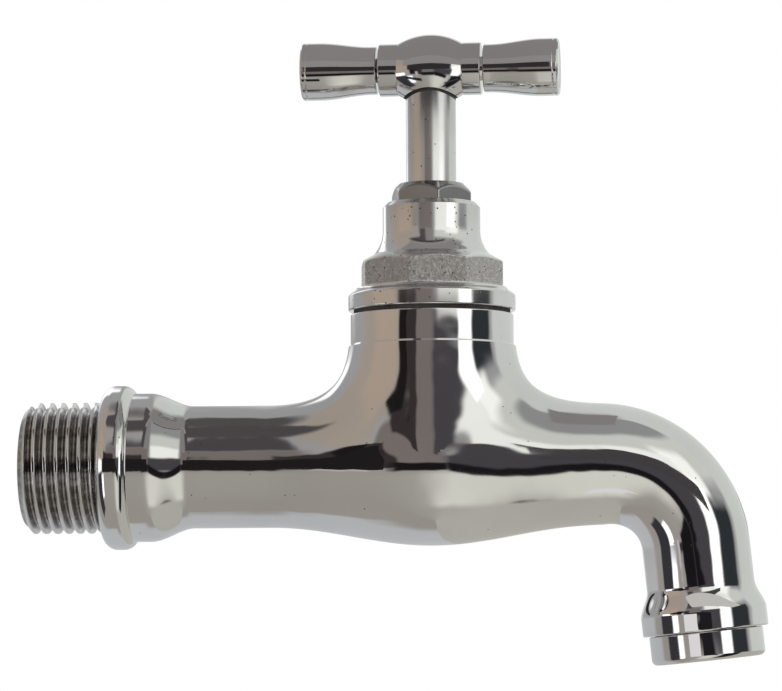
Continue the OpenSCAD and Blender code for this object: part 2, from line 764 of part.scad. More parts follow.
module gland_nut() {
    corner_r = gland_flats / 2 / cos(180 / 6);
    top_r = corner_r - gland_chamfer;
    color(CHROME)
        on_spindle()
            difference() {
                union() {
                    intersection() {
                        rotate([0, 0, -90 + gland_turn])
                            translate([0, 0, bonnet_top])
                                prism(gland_flats, gland_nut_h, 6);
                        rotate_extrude()
                            polygon([
                                [0, bonnet_top], [corner_r + OVER, bonnet_top],
                                [corner_r + OVER, gland_top - (gland_chamfer + OVER)],
                                [top_r, gland_top], [0, gland_top]
                            ]);
                    }
                    translate([0, 0, gland_spigot_z])
                        cylinder(d = stuffing_d - 2 * fit_gap, h = bonnet_top + OVER - gland_spigot_z);
                }
                translate([0, 0, gland_spigot_z - OVER])
                    cylinder(d = stem_d + 2 * run_gap, h = gland_top - gland_spigot_z + 2 * OVER);
            }
}

module gland_piece(z, h) {
    on_spindle()
        ring(z, h, stuffing_d - 2 * fit_gap, stem_d + 2 * run_gap);
}

module gland_ring() {
    color(BRASS)
        gland_piece(gland_ring_z, gland_ring_t);
}

module packing_lower() {
    color(PACKING)
        gland_piece(stuffing_z, packing_h);
}

module packing_upper() {
    color(PACKING)
        gland_piece(packing_upper_z, packing_h);
}

// Outlet ring: the part that shows, its screwed spigot and the lip that carries the aerator
module outlet_ring() {
    outer_r = ring_d / 2;
    rim_r = outer_r - ring_round;
    color(CHROME)
        on_nozzle()
            difference() {
                rotate_extrude()
                    polygon(concat(
                        [[0, spigot_s], [ring_thread_d / 2, spigot_s], [ring_thread_d / 2, nozzle_end_s]],
                        [[outer_r, nozzle_end_s]],
                        arc([rim_r, ring_end_s - ring_round], ring_round, 0, 90),
                        [[0, ring_end_s]]
                    ));
                translate([0, 0, spigot_s - OVER])
                    cylinder(d = ring_bore_d, h = ring_end_s - ring_lip_t - spigot_s + OVER);
                translate([0, 0, spigot_s])
                    cylinder(d = ring_lip_d, h = ring_end_s - spigot_s + OVER);
            }
}

module aerator_gasket() {
    color(RUBBER)
        on_nozzle()
            ring(socket_s, aerator_gasket_t, ring_thread_d, aerator_d - 2 * aerator_wall);
}

// Cup with a drilled plate, in a hexagonal pattern of holes
module aerator_insert() {
    inner_d = aerator_d - 2 * aerator_wall;
    plate_s = (spigot_s + screen_s - aerator_plate_t) / 2;
    rows = floor((inner_d - aerator_hole_d) / 2 / aerator_pitch);
    color(PLASTIC)
        on_nozzle()
            difference() {
                translate([0, 0, spigot_s])
                    cylinder(d = aerator_d, h = screen_s - spigot_s);
                translate([0, 0, spigot_s - OVER])
                    cylinder(d = inner_d, h = plate_s - spigot_s + OVER);
                translate([0, 0, plate_s + aerator_plate_t])
                    cylinder(d = inner_d, h = screen_s - plate_s);
                for (i = [-rows:rows], j = [-rows:rows]) {
                    spot = aerator_pitch * [i + j / 2, j * sin(60)];
                    if (norm(spot) < (inner_d - aerator_hole_d) / 2 - aerator_rim)
                        translate([spot.x, spot.y, plate_s - OVER])
                            cylinder(d = aerator_hole_d, h = aerator_plate_t + 2 * OVER);
                }
            }
}

// Flat wire mesh that lies on the outlet ring's lip
module aerator_screen() {
    gap = screen_pitch - screen_wire;
    reach = ring_lip_d / 2 - gap;
    rows = floor(reach / screen_pitch);
    color(STEEL)
        on_nozzle()
            translate([0, 0, screen_s])
                linear_extrude(screen_t)
                    difference() {
                        circle(d = aerator_d);
                        for (i = [-rows:rows], j = [-rows:rows])
                            if (norm([i, j]) * screen_pitch < reach)
                                translate(screen_pitch * [i, j])
                                    square(gap, center = true);
                    }
}

// Disc with a pin that turns loosely in the spindle and a stud that carries the washer
module jumper_valve() {
    color(BRASS)
        on_spindle() {
            translate([0, 0, washer_top])
                cylinder(d = jumper_d, h = jumper_t);
            translate([0, 0, washer_top])
                cylinder(d = jumper_pin_d, h = jumper_pin_top - washer_top);
            translate([0, 0, stud_end])
                cylinder(d = stud_d, h = jumper_top - stud_end);
        }
}

module seat_washer() {
    color(RUBBER)
        on_spindle()
            ring(seat_z, washer_t, seat_d, stud_d + 2 * fit_gap);
}

module washer_plate() {
    color(BRASS)
        on_spindle()
            ring(plate_z, plate_t, plate_d, stud_d + 2 * fit_gap);
}

module washer_nut() {
    color(BRASS)
        on_spindle()
            translate([0, 0, nut_z])
                difference() {
                    prism(nut_flats, nut_h, 6);
                    translate([0, 0, -OVER])
                        cylinder(d = stud_d + 2 * fit_gap, h = nut_h + 2 * OVER);
                }
}

// Screwed lower part with a socket for the jumper's pin, stem, and squared end for the handle
module spindle() {
    color(CHROME) {
        on_spindle()
            difference() {
                union() {
                    translate([0, 0, spindle_z])
                        cylinder(d = spindle_thread_d, h = spindle_thread_top - spindle_z);
                    translate([0, 0, spindle_z])
                        cylinder(d = stem_d, h = stem_top - spindle_z);
                }
                translate([0, 0, spindle_z - OVER])
                    cylinder(d = jumper_pin_d + 2 * run_gap, h = jumper_pin_top + OVER - spindle_z + OVER);
            }
        on_bar()
            translate([-square_w / 2, -square_w / 2, stem_top - bar_z - OVER])
                cube([square_w, square_w, square_top - stem_top + OVER]);
    }
}

// Crowned barrel with a collar at each end, turned about the bar's axis
module handle_hub() {
    half = hub_len / 2;
    crown_z = hub_d / 2 - hub_crown_r;
    crown_end = asin(half / hub_crown_r);
    collar_r = hub_collar_d / 2;
    socket_w = square_w + 2 * fit_gap;
    color(CHROME)
        on_bar()
            difference() {
                rotate([0, 90, 0])
                    rotate_extrude()
                        polygon(concat(
                            [[0, -hub_span / 2], [collar_r, -hub_span / 2], [collar_r, -half]],
                            arc([crown_z, 0], hub_crown_r, -crown_end, crown_end, 2 * ARC_STEPS),
                            [[collar_r, half], [collar_r, hub_span / 2], [0, hub_span / 2]]
                        ));
                translate([0, 0, -hub_d])
                    cylinder(d = stem_d + 2 * hub_mouth_gap, h = hub_d - hub_seat_drop);
                translate([-socket_w / 2, -socket_w / 2, -hub_seat_drop - OVER])
                    cube([socket_w, socket_w, square_h + fit_gap + OVER]);
                for (side = [0, 180])
                    rotate([0, 0, side])
                        translate([hub_span / 2 - arm_stud_len - fit_gap, 0, 0])
                            rotate([0, 90, 0])
                                cylinder(d = arm_stud_d + 2 * fit_gap, h = arm_stud_len + OVER);
                rotate([-90, 0, 0])
                    cylinder(d = set_screw_d + 2 * fit_gap, h = hub_d);
            }
}

// One arm along +X: stud, flared grip and chamfered end
module arm() {
    end_x = bar_len / 2;
    end_r = arm_end_d / 2;
    root_r = arm_root_d / 2;
    rotate([0, 90, 0])
        rotate_extrude()
            polygon(concat(
                [[0, hub_span / 2 - arm_stud_len], [arm_stud_d / 2, hub_span / 2 - arm_stud_len]],
                [[arm_stud_d / 2, hub_span / 2], [arm_stud_d / 2, arm_x], [root_r, arm_x]],
                ogee([root_r, arm_x + arm_neck], [end_r, end_x - arm_land]),
                [[end_r, end_x - arm_chamfer], [end_r - arm_chamfer, end_x], [0, end_x]]
            ));
}

module handle_arm_right() {
    color(CHROME)
        on_bar()
            arm();
}

module handle_arm_left() {
    color(CHROME)
        on_bar()
            rotate([0, 0, 180])
                arm();
}

// Headless screw at the back of the hub, with a hexagon socket
module handle_set_screw() {
    color(STEEL)
        on_bar()
            rotate([-90, 0, 0])
                translate([0, 0, set_screw_end])
                    difference() {
                        cylinder(d = set_screw_d, h = set_screw_head - set_screw_end);
                        translate([0, 0, set_screw_head - set_screw_end - set_screw_key_depth])
                            prism(set_screw_key, set_screw_key_depth + OVER, 6);
                    }
}

body_casting();
bonnet();
bonnet_gasket();
gland_nut();
gland_ring();
packing_lower();
packing_upper();
outlet_ring();
aerator_gasket();
aerator_insert();
aerator_screen();
jumper_valve();
seat_washer();
washer_plate();
washer_nut();
spindle();
handle_hub();
handle_arm_left();
handle_arm_right();
handle_set_screw();
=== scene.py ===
import math

import bpy
import numpy as np
from mathutils import Matrix, Vector

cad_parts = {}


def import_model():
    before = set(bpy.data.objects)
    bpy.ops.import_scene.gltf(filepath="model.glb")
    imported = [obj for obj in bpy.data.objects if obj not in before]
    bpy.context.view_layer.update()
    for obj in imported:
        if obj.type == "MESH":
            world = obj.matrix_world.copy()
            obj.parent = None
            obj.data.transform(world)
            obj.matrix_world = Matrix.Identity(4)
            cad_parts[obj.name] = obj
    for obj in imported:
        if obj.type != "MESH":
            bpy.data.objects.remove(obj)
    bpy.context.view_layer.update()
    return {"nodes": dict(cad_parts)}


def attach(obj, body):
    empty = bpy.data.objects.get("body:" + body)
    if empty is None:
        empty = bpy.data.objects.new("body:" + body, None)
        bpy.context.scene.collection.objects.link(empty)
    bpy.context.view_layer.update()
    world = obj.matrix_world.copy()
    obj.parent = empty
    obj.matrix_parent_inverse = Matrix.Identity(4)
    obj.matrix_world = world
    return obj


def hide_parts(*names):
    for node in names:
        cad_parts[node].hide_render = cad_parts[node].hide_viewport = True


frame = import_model()

MM = 0.001
TINY = 1e-6

# Sizes of the solids in millimetres, under the same names as in the part's source
inlet_thread_d, inlet_thread_len, inlet_chamfer, inlet_bore_d = 20.955, 12.7, 1.5, 13.0
collar_d, collar_w, collar_round = 26.2, 4.9, 2.0
shoulder_d, shoulder_len, slope_len, tube_d = 23.7, 2.5, 7.0, 19.5
neck_x, belly_d, belly_reach = 52.5, 25.5, 26.0
neck_d, neck_band_d, neck_band_z, neck_top = 26.2, 26.0, 20.0, 24.0
blend_reach = 9.5
spout_run, spout_d, taper_lead, taper_len = 27.2, 17.0, 5.0, 24.0
bend_r, bend_angle = 14.4, 84.2
nozzle_len, flare_len, nozzle_collar_h, nozzle_collar_d = 6.4, 4.4, 2.8, 19.8
ring_d, ring_h, ring_round, ring_thread_d, ring_thread_len = 17.9, 4.6, 0.9, 15.8, 3.5
ring_bore_d, ring_lip_d, ring_lip_t = 13.8, 12.2, 1.0
bonnet_thread_d, flange_d, flange_z, rim_z, octagon_z = 20.8, 26.7, 24.6, 26.9, 28.2
octagon_r, octagon_step, octagon_turn = 11.9, 0.15, 14.5
octagon_corner_z, flare_z, octagon_top_r = 32.2, 33.6, 9.3
bonnet_neck_z, bonnet_neck_r, bonnet_top, bonnet_chamfer = 37.6, 7.8, 42.0, 0.8
stuffing_d = 11.5
gland_flats, gland_top, gland_turn, gland_chamfer = 11.74, 45.0, 13.0, 1.6
stem_d, stem_top, spindle_z, spindle_thread_d, spindle_thread_top = 8.0, 60.6, 9.05, 11.0, 26.475
thread_pitch, square_w, square_top = 2.5, 5.6, 66.0
bar_z, bar_len, bar_turn = 63.6, 41.4, 2.0
hub_d, hub_crown_r, hub_len, hub_collar_d, hub_span = 11.2, 10.0, 10.4, 8.4, 16.4
hub_mouth_d, hub_seat_drop, set_screw_hole_d = 8.7, 3.0, 4.1
arm_groove, arm_root_d, arm_neck, arm_end_d, arm_land, arm_chamfer = 0.4, 7.7, 1.0, 9.2, 3.0, 0.6
arm_stud_d, arm_stud_len = 4.0, 4.0

# Threads, which are plain cylinders in the solids
INLET_PITCH, INLET_THREAD_DEPTH, SPINDLE_THREAD_DEPTH = 1.814, 1.162, 1.2
THREAD_ROUNDING, THREAD_STRETCH, THREAD_CLIP = 0.18, 1.12, 0.04
INLET_LEAD, INLET_FADE, SPINDLE_FADE = 1.15, 0.9, 1.0

# How the tee's fillet and the band above it differ from the solids
SEAM_RISE = 1.75
BAND_DROP, BAND_LEDGE = 1.1, 0.3
BLEND_WIDENING, BLEND_START, BLEND_FULLER, BLEND_SIDE = 1.5, 3.0, 0.45, 9.0

# Radii of softened edges
SHARP_EDGE, LID_EDGE, EDGE, TURNED_EDGE, RING_EDGE, STEM_EDGE, CAST_EDGE, COLLAR_EDGE = (
    0.05, 0.1, 0.16, 0.2, 0.22, 0.25, 0.3, 0.5
)

# Widths over which the unpolished flats of the octagon fade at their rims and at their foot
FLAT_FADE, FOOT_FADE = 0.6, 0.4

# Walls that run on inside a neighbour, and the play between two pieces
BORE_END, BORE_TIP, RING_SOCKET, NECK_SOCKET = 33, 36, 3, 4
BONNET_SPIGOT, STUFFING_DEPTH, GLAND_BORE = 6, 3, 2
SPINDLE_CORE_R, STEM_CORE_R = 3, 1
FIT_GAP, GLAND_GAP, STEM_GAP, RING_GAP = 0.05, 0.03, 0.06, 0.06

# Steps of the meshes
ROUND, BONNET_ROUND, GLAND_ROUND = 160, 480, 360
HALF = ROUND // 2
WING_STEPS, TUBE_STEPS, SPOUT_STEPS, NECK_STEPS, BEND_STEPS, THREAD_STEPS = 160, 39, 59, 48, 90, 26
CURVE_STEPS, FLARE_STEPS, RIM_STEPS, GLAND_STEPS = 40, 30, 16, 69
BONNET_STEPS = 23, 39, 39, 7

slope_x = collar_w + shoulder_len
slope_end = slope_x + slope_len
loft_x = 24.0
bend_x = neck_x + spout_run
taper_s = bend_x - taper_lead
lean = math.radians(bend_angle)
bend_len = bend_r * lean
nozzle_collar_s = nozzle_len + flare_len
nozzle_end_s = nozzle_collar_s + nozzle_collar_h
ring_end_s = nozzle_end_s + ring_h
seam_z = tube_d / 2 + SEAM_RISE


def unit(v):
    return v / np.maximum(np.linalg.norm(v, axis=-1, keepdims=True), TINY)


def smooth(t):
    c = np.clip(t, 0, 1)
    return c * c * (3 - 2 * c)


# Cubic soft minimum: the smaller value wherever the two differ by more than the reach
def soft_min(a, b, reach, strength=1.0):
    near = np.maximum(reach - np.abs(a - b), 0) / reach
    return np.minimum(a, b) - near**3 * reach / 6 * strength


# A turning axis: where it starts, its two cross directions and its own direction
def axis(origin, across, up):
    across, up = np.array(across, float), np.array(up, float)
    return np.array(origin, float), across, up, np.cross(across, up)


turned = math.radians(bar_turn)
bend_end = (bend_x + bend_r * math.sin(lean), 0, bend_r * (math.cos(lean) - 1))
INLET = axis((0, 0, 0), (0, 1, 0), (0, 0, 1))
SPINDLE = axis((neck_x, 0, 0), (1, 0, 0), (0, 1, 0))
NOZZLE = axis(bend_end, (0, 1, 0), (math.sin(lean), 0, math.cos(lean)))
BAR = axis((neck_x, 0, bar_z), (math.sin(turned), math.cos(turned), 0), (0, 0, 1))
HUB_STEM = axis((neck_x, 0, bar_z), (1, 0, 0), (0, 1, 0))
HUB_BACK = axis((neck_x, 0, bar_z), (0, 0, 1), (math.cos(turned), -math.sin(turned), 0))


# Angles of a full turn, from the underside round by the front
def full_turn(count=ROUND):
    return np.radians(-90 - np.arange(count + 1) * 360 / count)


def outward(where, angle):
    _, across, up, _ = where
    return np.cos(angle)[..., None] * across + np.sin(angle)[..., None] * up


def on_axis(where, along, radius, angle):
    origin, _, _, ahead = where
    return origin + along[..., None] * ahead + radius[..., None] * outward(where, angle)


# Surface whose radius depends on the place along the axis and on the angle
def polar_patch(where, along, angle, radius, coarse_and_shade=0.0):
    _, across, up, ahead = where
    a, t = np.broadcast_arrays(along[:, None], angle[None, :])
    points = on_axis(where, a, radius, t)
    slope = np.gradient(radius, along, axis=0)
    step = angle[1] - angle[0]
    around = np.concatenate([radius[:, -2:-1], radius, radius[:, 1:2]], 1)
    twist = (around[:, 2:] - around[:, :-2]) / (2 * step) / np.maximum(radius, TINY)
    tangent = -np.sin(t)[..., None] * across + np.cos(t)[..., None] * up
    normals = unit(outward(where, t) - slope[..., None] * ahead - twist[..., None] * tangent)
    return points, normals, np.broadcast_to(coarse_and_shade, radius.shape)


# Rounds the corners of a profile that turn by more than a fillet's own steps
def soften(profile, radius=EDGE, steps=5, corner=25, most=0.45):
    p = [np.array(q, float) for q in profile]
    out = [p[0]]
    for before, here, after in zip(p, p[1:], p[2:]):
        a, b = here - before, after - here
        la, lb = np.linalg.norm(a), np.linalg.norm(b)
        turn = math.acos(np.clip(a @ b / (la * lb), -1, 1))
        if math.degrees(turn) < corner:
            out.append(here)
            continue
        cut = min(radius * math.tan(turn / 2), most * la, most * lb)
        start, end = here - a / la * cut, here + b / lb * cut
        for t in np.linspace(0, 1, steps + 1):
            out.append((1 - t) ** 2 * start + 2 * t * (1 - t) * here + t * t * end)
    out.append(p[-1])
    return np.array(out)


# Outward directions of a profile's points, as parts along and away from the axis
def profile_normals(p):
    run = np.concatenate([p[1:2] - p[:1], p[2:] - p[:-2], p[-1:] - p[-2:-1]])
    return unit(np.stack([-run[:, 1], run[:, 0]], -1))


# Turned surface: the profile holds (along, radius), with the material on the right of its run
def lathe(where, profile, radius=EDGE, coarse_and_shade=0.0, count=ROUND):
    *_, ahead = where
    p = soften(profile, radius)
    out = profile_normals(p)
    a, t = np.broadcast_arrays(p[:, :1], full_turn(count)[None, :])
    points = on_axis(where, a, np.broadcast_to(p[:, 1:], a.shape), t)
    normals = out[:, None, :1] * ahead + out[:, None, 1:] * outward(where, t)
    return points, unit(normals), np.full(a.shape, coarse_and_shade)


def arc(centre, r, start, end, steps=RIM_STEPS):
    a = np.radians(np.linspace(start, end, steps + 1))
    return [(centre[0] + r * math.cos(q), centre[1] + r * math.sin(q)) for q in a]


# A soft step in a profile's radius, level at both ends
def ogee(start, end, steps):
    t = np.linspace(0, 1, steps + 1)
    return list(zip(start[0] + (end[0] - start[0]) * t, start[1] + (end[1] - start[1]) * smooth(t)))


# Rising values through the stops, with a number of steps between each two
def stretches(stops, counts):
    runs = [np.linspace(a, b, n, endpoint=False) for a, b, n in zip(stops, stops[1:], counts)]
    return np.concatenate([*runs, stops[-1:]])


# Points are joined that agree to one part in so many of a millimetre, and of their normals' length
JOIN_PER_MM, JOIN_PER_NORMAL = 2000, 20


# Cells of a grid of point numbers
def grid_quads(k):
    return np.stack([k[:-1, :-1], k[:-1, 1:], k[1:, 1:], k[1:, :-1]], -1).reshape(-1, 4)


# Points, normals, coarseness with painted shade, and cells of one patch, with the cells facing the way of the
# normals
def flatten(patch):
    points, normals, coarse_and_shade = patch
    rows, cols = points.shape[:2]
    points, normals = points.reshape(-1, 3), normals.reshape(-1, 3)
    quads = grid_quads(np.arange(rows * cols).reshape(rows, cols))
    corners = points[quads]
    facing = np.cross(corners[:, 2] - corners[:, 0], corners[:, 3] - corners[:, 1])
    if np.sum(facing * normals[quads[:, 0]]) < 0:
        quads = quads[:, ::-1]
    return points, normals, np.asarray(coarse_and_shade, float).reshape(-1), quads


# Joins the equal points of several patches and drops the cells that this closes up
def join(patches):
    points, normals, coarse_and_shade, quads = zip(*map(flatten, patches))
    starts = np.cumsum([0, *map(len, points)])
    quads = np.concatenate([q + start for q, start in zip(quads, starts)])
    points, normals, coarse_and_shade = map(np.concatenate, (points, normals, coarse_and_shade))
    key = np.round(np.concatenate([points * JOIN_PER_MM, normals * JOIN_PER_NORMAL], 1)).astype(np.int64)
    _, first, same = np.unique(key, axis=0, return_index=True, return_inverse=True)
    faces = []
    for quad in same.reshape(-1)[quads].tolist():
        face = [v for i, v in enumerate(quad) if v != quad[i - 1]]
        if len(set(face)) == len(face) > 2:
            faces.append(face)
    return points[first], normals[first], coarse_and_shade[first], faces


def link(obj):
    bpy.context.scene.collection.objects.link(obj)
    return obj


# One mesh from several patches, with the patches' own normals kept
def make_piece(name, patches, node, body, material):
    points, normals, coarse_and_shade, faces = join(patches)
    mesh = bpy.data.meshes.new(name)
    mesh.from_pydata((points * MM).tolist(), [], faces)
    mesh.shade_smooth()
    share = mesh.attributes.new("coarse_and_shade", "FLOAT", "POINT")
    share.data.foreach_set("value", coarse_and_shade.astype(np.float32))
    mesh.normals_split_custom_set_from_vertices(normals.tolist())
    mesh.materials.append(material)
    obj = link(bpy.data.objects.new(name, mesh))
    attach(obj, body)
    if node:
        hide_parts(node)
    return obj


# Radius of tube, belly and spout along the axis, before the neck is blended in
def tube_r(s):
    narrowing = smooth((s - taper_s) / taper_len)
    return tube_d / 2 + (belly_d - tube_d) / 2 * swell(s) - (tube_d - spout_d) / 2 * narrowing


def swell(s):
    return (1 + np.cos(math.pi * np.minimum(np.abs(s - neck_x) / belly_reach, 1))) / 2


# The belly is a little wider than high, so that its front runs straight up into the neck
def widening(s):
    return 1 + (neck_d / belly_d - 1) * swell(s)


# Negative inside the tee: the source's blend, with a softer run-out for clean reflections
def tee(p):
    x, y, z = p[..., 0], p[..., 1], p[..., 2]
    from_tube, from_neck = np.hypot(y / widening(x), z), np.hypot(x - neck_x, y)
    a, b = from_tube - tube_r(x), np.where(z > 0, from_neck - neck_d / 2, np.inf)
    alike = y * y / np.maximum(from_tube * from_neck, TINY)
    fade = 1 - BLEND_FULLER * smooth(np.abs(x - neck_x) / BLEND_SIDE)
    reach = np.maximum(blend_reach * BLEND_WIDENING * np.maximum(1 - alike, 0) ** fade, TINY)
    return soft_min(a, b, reach, smooth(z / BLEND_START))


def tee_normal(p, step=0.01):
    moves = step * np.eye(3)
    return unit(np.stack([tee(p + m) - tee(p - m) for m in moves], -1))


# Point of the tee's surface along a direction
def to_surface(start, way, low, high=60.0, halvings=40):
    low = np.broadcast_to(low, way.shape[:-1]).astype(float)
    high = np.full(way.shape[:-1], high)
    for _ in range(halvings):
        mid = (low + high) / 2
        inside = tee(start + mid[..., None] * way) < 0
        low, high = np.where(inside, mid, low), np.where(inside, high, mid)
    return start + high[..., None] * way


# Where the seam between tube and neck comes out of the tee, on one side
def wing_tip(outside, inside, halvings=50):
    for _ in range(halvings):
        mid = (outside + inside) / 2
        if tee(np.array([mid, 0, seam_z])) < 0:
            inside = mid
        else:
            outside = mid
    return mid


# The front half of the blended tee up to its seam with the neck, and the open edge along that seam
def tee_half():
    left, right = wing_tip(loft_x, neck_x - neck_d / 4), wing_tip(bend_x, neck_x + neck_d / 4)
    wings = left + (right - left) * (1 - np.cos(np.linspace(0, math.pi, WING_STEPS + 1))) / 2
    tube = np.linspace(loft_x, left, TUBE_STEPS + 1)[:-1]
    spout = np.linspace(right, bend_x, SPOUT_STEPS + 1)[1:]
    x = np.concatenate([tube, wings, spout])
    is_open = (x > left + TINY) & (x < right - TINY)
    foot = np.stack([x, 0 * x, 0 * x + seam_z], -1)
    seam = to_surface(foot, np.broadcast_to([0.0, -1, 0], foot.shape), 0)
    top = np.where(is_open, np.arctan2(seam_z, -seam[:, 1]), math.pi / 2)
    a = -math.pi / 2 + (top + math.pi / 2)[:, None] * np.linspace(0, 1, HALF + 1)
    way = np.stack([0 * a, -np.cos(a), np.sin(a)], -1)
    centre = np.stack([x, 0 * x, 0 * x], -1)[:, None, :]
    points = to_surface(centre, way, tube_r(x)[:, None] / 2)
    return points, points[(x >= left - TINY) & (x <= right + TINY), -1]


# The front half of the neck, from that edge up to the band, and of the ledge under the band
def neck_half(edge, crowding=1.5):
    z = seam_z + (neck_band_z - BAND_DROP - seam_z) * np.linspace(0, 1, NECK_STEPS + 1) ** crowding
    t = np.arctan2(edge[:, 1], edge[:, 0] - neck_x)
    t[0] = -math.pi
    out = np.stack([np.cos(t), np.sin(t), 0 * t], -1)
    start = np.zeros((len(z), 1, 3)) + [neck_x, 0, 0]
    start[:, 0, 2] = z
    neck = to_surface(start, np.broadcast_to(out, (len(z), *out.shape)), neck_band_d / 4)
    neck[0] = edge
    band = start[-1] + out * neck_band_d / 2 + [0, 0, BAND_LEDGE]
    jut = np.linalg.norm(neck[-1] - start[-1], axis=-1) - neck_band_d / 2
    rise = unit(out * BAND_LEDGE + jut[:, None] * [0, 0, 1])
    ledge = np.stack([neck[-1], band]), np.stack([rise, rise]), np.zeros((2, len(t)))
    return neck, ledge


def tee_halves():
    points, edge = tee_half()
    neck, ledge = neck_half(edge)
    return [(q, tee_normal(q), np.zeros(q.shape[:2])) for q in (points, neck)] + [ledge]


# The other half of a patch that is the same on both sides of the XZ plane
def mirrored(patch):
    flip = np.array([1.0, -1, 1])
    return patch[0] * flip, patch[1] * flip, patch[2]


def bend_patch():
    s = np.linspace(0, bend_len, BEND_STEPS + 1)
    a = s / bend_r
    t = full_turn()
    up = np.stack([np.sin(a), 0 * a, np.cos(a)], -1)
    ahead = np.stack([np.cos(a), 0 * a, -np.sin(a)], -1)
    r = tube_r(bend_x + s)
    slope = np.gradient(r, s)
    radial = np.cos(t)[None, :, None] * np.array([0, 1.0, 0]) + np.sin(t)[None, :, None] * up[:, None, :]
    points = np.array([bend_x, 0, -bend_r]) + bend_r * up[:, None, :] + r[:, None, None] * radial
    stretch = bend_r / (bend_r + r[:, None] * np.sin(t)[None, :])
    normals = unit(radial - (slope[:, None] * stretch)[..., None] * ahead[:, None, :])
    return points, normals, np.zeros(points.shape[:2])


# Rounded thread: crests run right-handed along the axis, and its valleys are rougher and darker, the darkness
# being painted shade
def screw(where, start, end, crest_r, depth, pitch, ceiling, fade, valley_shade_gain=1.3, valley_shade_start=0.08):
    s = np.linspace(start, end, int((end - start) / pitch * THREAD_STEPS) + 1)
    t = full_turn()
    wave = np.cos(2 * math.pi * (s[:, None] / pitch) - t[None, :])
    form = (1 + np.clip((1 + THREAD_ROUNDING) * wave - THREAD_ROUNDING * wave**3, -1, 1)) / 2
    form = np.clip(form * THREAD_STRETCH - THREAD_CLIP, 0, 1)
    r = crest_r - depth + depth * form * smooth((end - s) / fade)[:, None]
    r = np.minimum(r, ceiling(s)[:, None])
    # The share rises into the valleys, where it paints shade
    return polar_patch(where, s, t, r, smooth((crest_r - r) / depth * valley_shade_gain - valley_shade_start))


def inlet_patches(mouth_chamfer=0.5, mouth_coarse=0.2, collar_land=0.4):
    thread_r, bore_r, face = inlet_thread_d / 2, inlet_bore_d / 2, -inlet_thread_len
    end_r = thread_r - inlet_chamfer
    mouth = [(BORE_TIP, 0), (BORE_END, bore_r), (face + mouth_chamfer, bore_r)]
    mouth += [(face, bore_r + mouth_chamfer), (face, end_r)]
    rim_r, shoulder_r = collar_d / 2 - collar_round, shoulder_d / 2
    turn = math.degrees(math.acos((shoulder_r - rim_r) / collar_round))
    second = collar_w - collar_round * math.sin(math.radians(turn))
    collar = [(0, thread_r - INLET_THREAD_DEPTH)]
    collar += arc((collar_round, rim_r), collar_round, 180, 90)
    collar += arc((second, rim_r), collar_round, 90, 90 - turn)
    collar += [(collar_w + collar_land, shoulder_r)]
    collar += ogee((slope_x, shoulder_r), (slope_end, tube_d / 2), CURVE_STEPS) + [(loft_x, tube_d / 2)]
    thread = screw(
        INLET, face, 0, thread_r, INLET_THREAD_DEPTH, INLET_PITCH,
        ceiling=lambda s: end_r + (s - face) * INLET_LEAD, fade=INLET_FADE
    )
    return [lathe(INLET, mouth, CAST_EDGE, mouth_coarse), thread, lathe(INLET, collar, COLLAR_EDGE)]


def nozzle_patch():
    r, collar_r, socket_r = spout_d / 2, nozzle_collar_d / 2, ring_thread_d / 2 + FIT_GAP
    profile = [(0, r)] + ogee((nozzle_len, r), (nozzle_collar_s, collar_r), FLARE_STEPS)
    profile += [(nozzle_end_s, collar_r), (nozzle_end_s, socket_r), (nozzle_end_s - RING_SOCKET, socket_r)]
    return lathe(NOZZLE, profile, CAST_EDGE)


def band_patch():
    r, thread_r = neck_band_d / 2, bonnet_thread_d / 2 + FIT_GAP
    profile = [(neck_band_z - BAND_DROP + BAND_LEDGE, r), (neck_top, r)]
    profile += [(neck_top, thread_r), (neck_top - NECK_SOCKET, thread_r)]
    return lathe(SPINDLE, profile, RING_EDGE)


# Distance from the axis to the side of a regular polygon with slightly rounded corners
def polygon_r(t, flats, sides, first, sharpness):
    total = 0
    for k in range(sides):
        side = math.radians(first + 180 / sides + 360 / sides * k)
        total = total + np.maximum(np.cos(t - side), 0) ** sharpness
    return flats / 2 / total ** (1 / sharpness)


# Prism whose top is turned down to a round body; also tells how far each flat lies under that body
def turned_prism(side, body, blend):
    shape = (len(body), len(side))
    a, b = np.broadcast_to(side, shape), np.broadcast_to(body[:, None], shape)
    return soft_min(a, b, blend), b - a


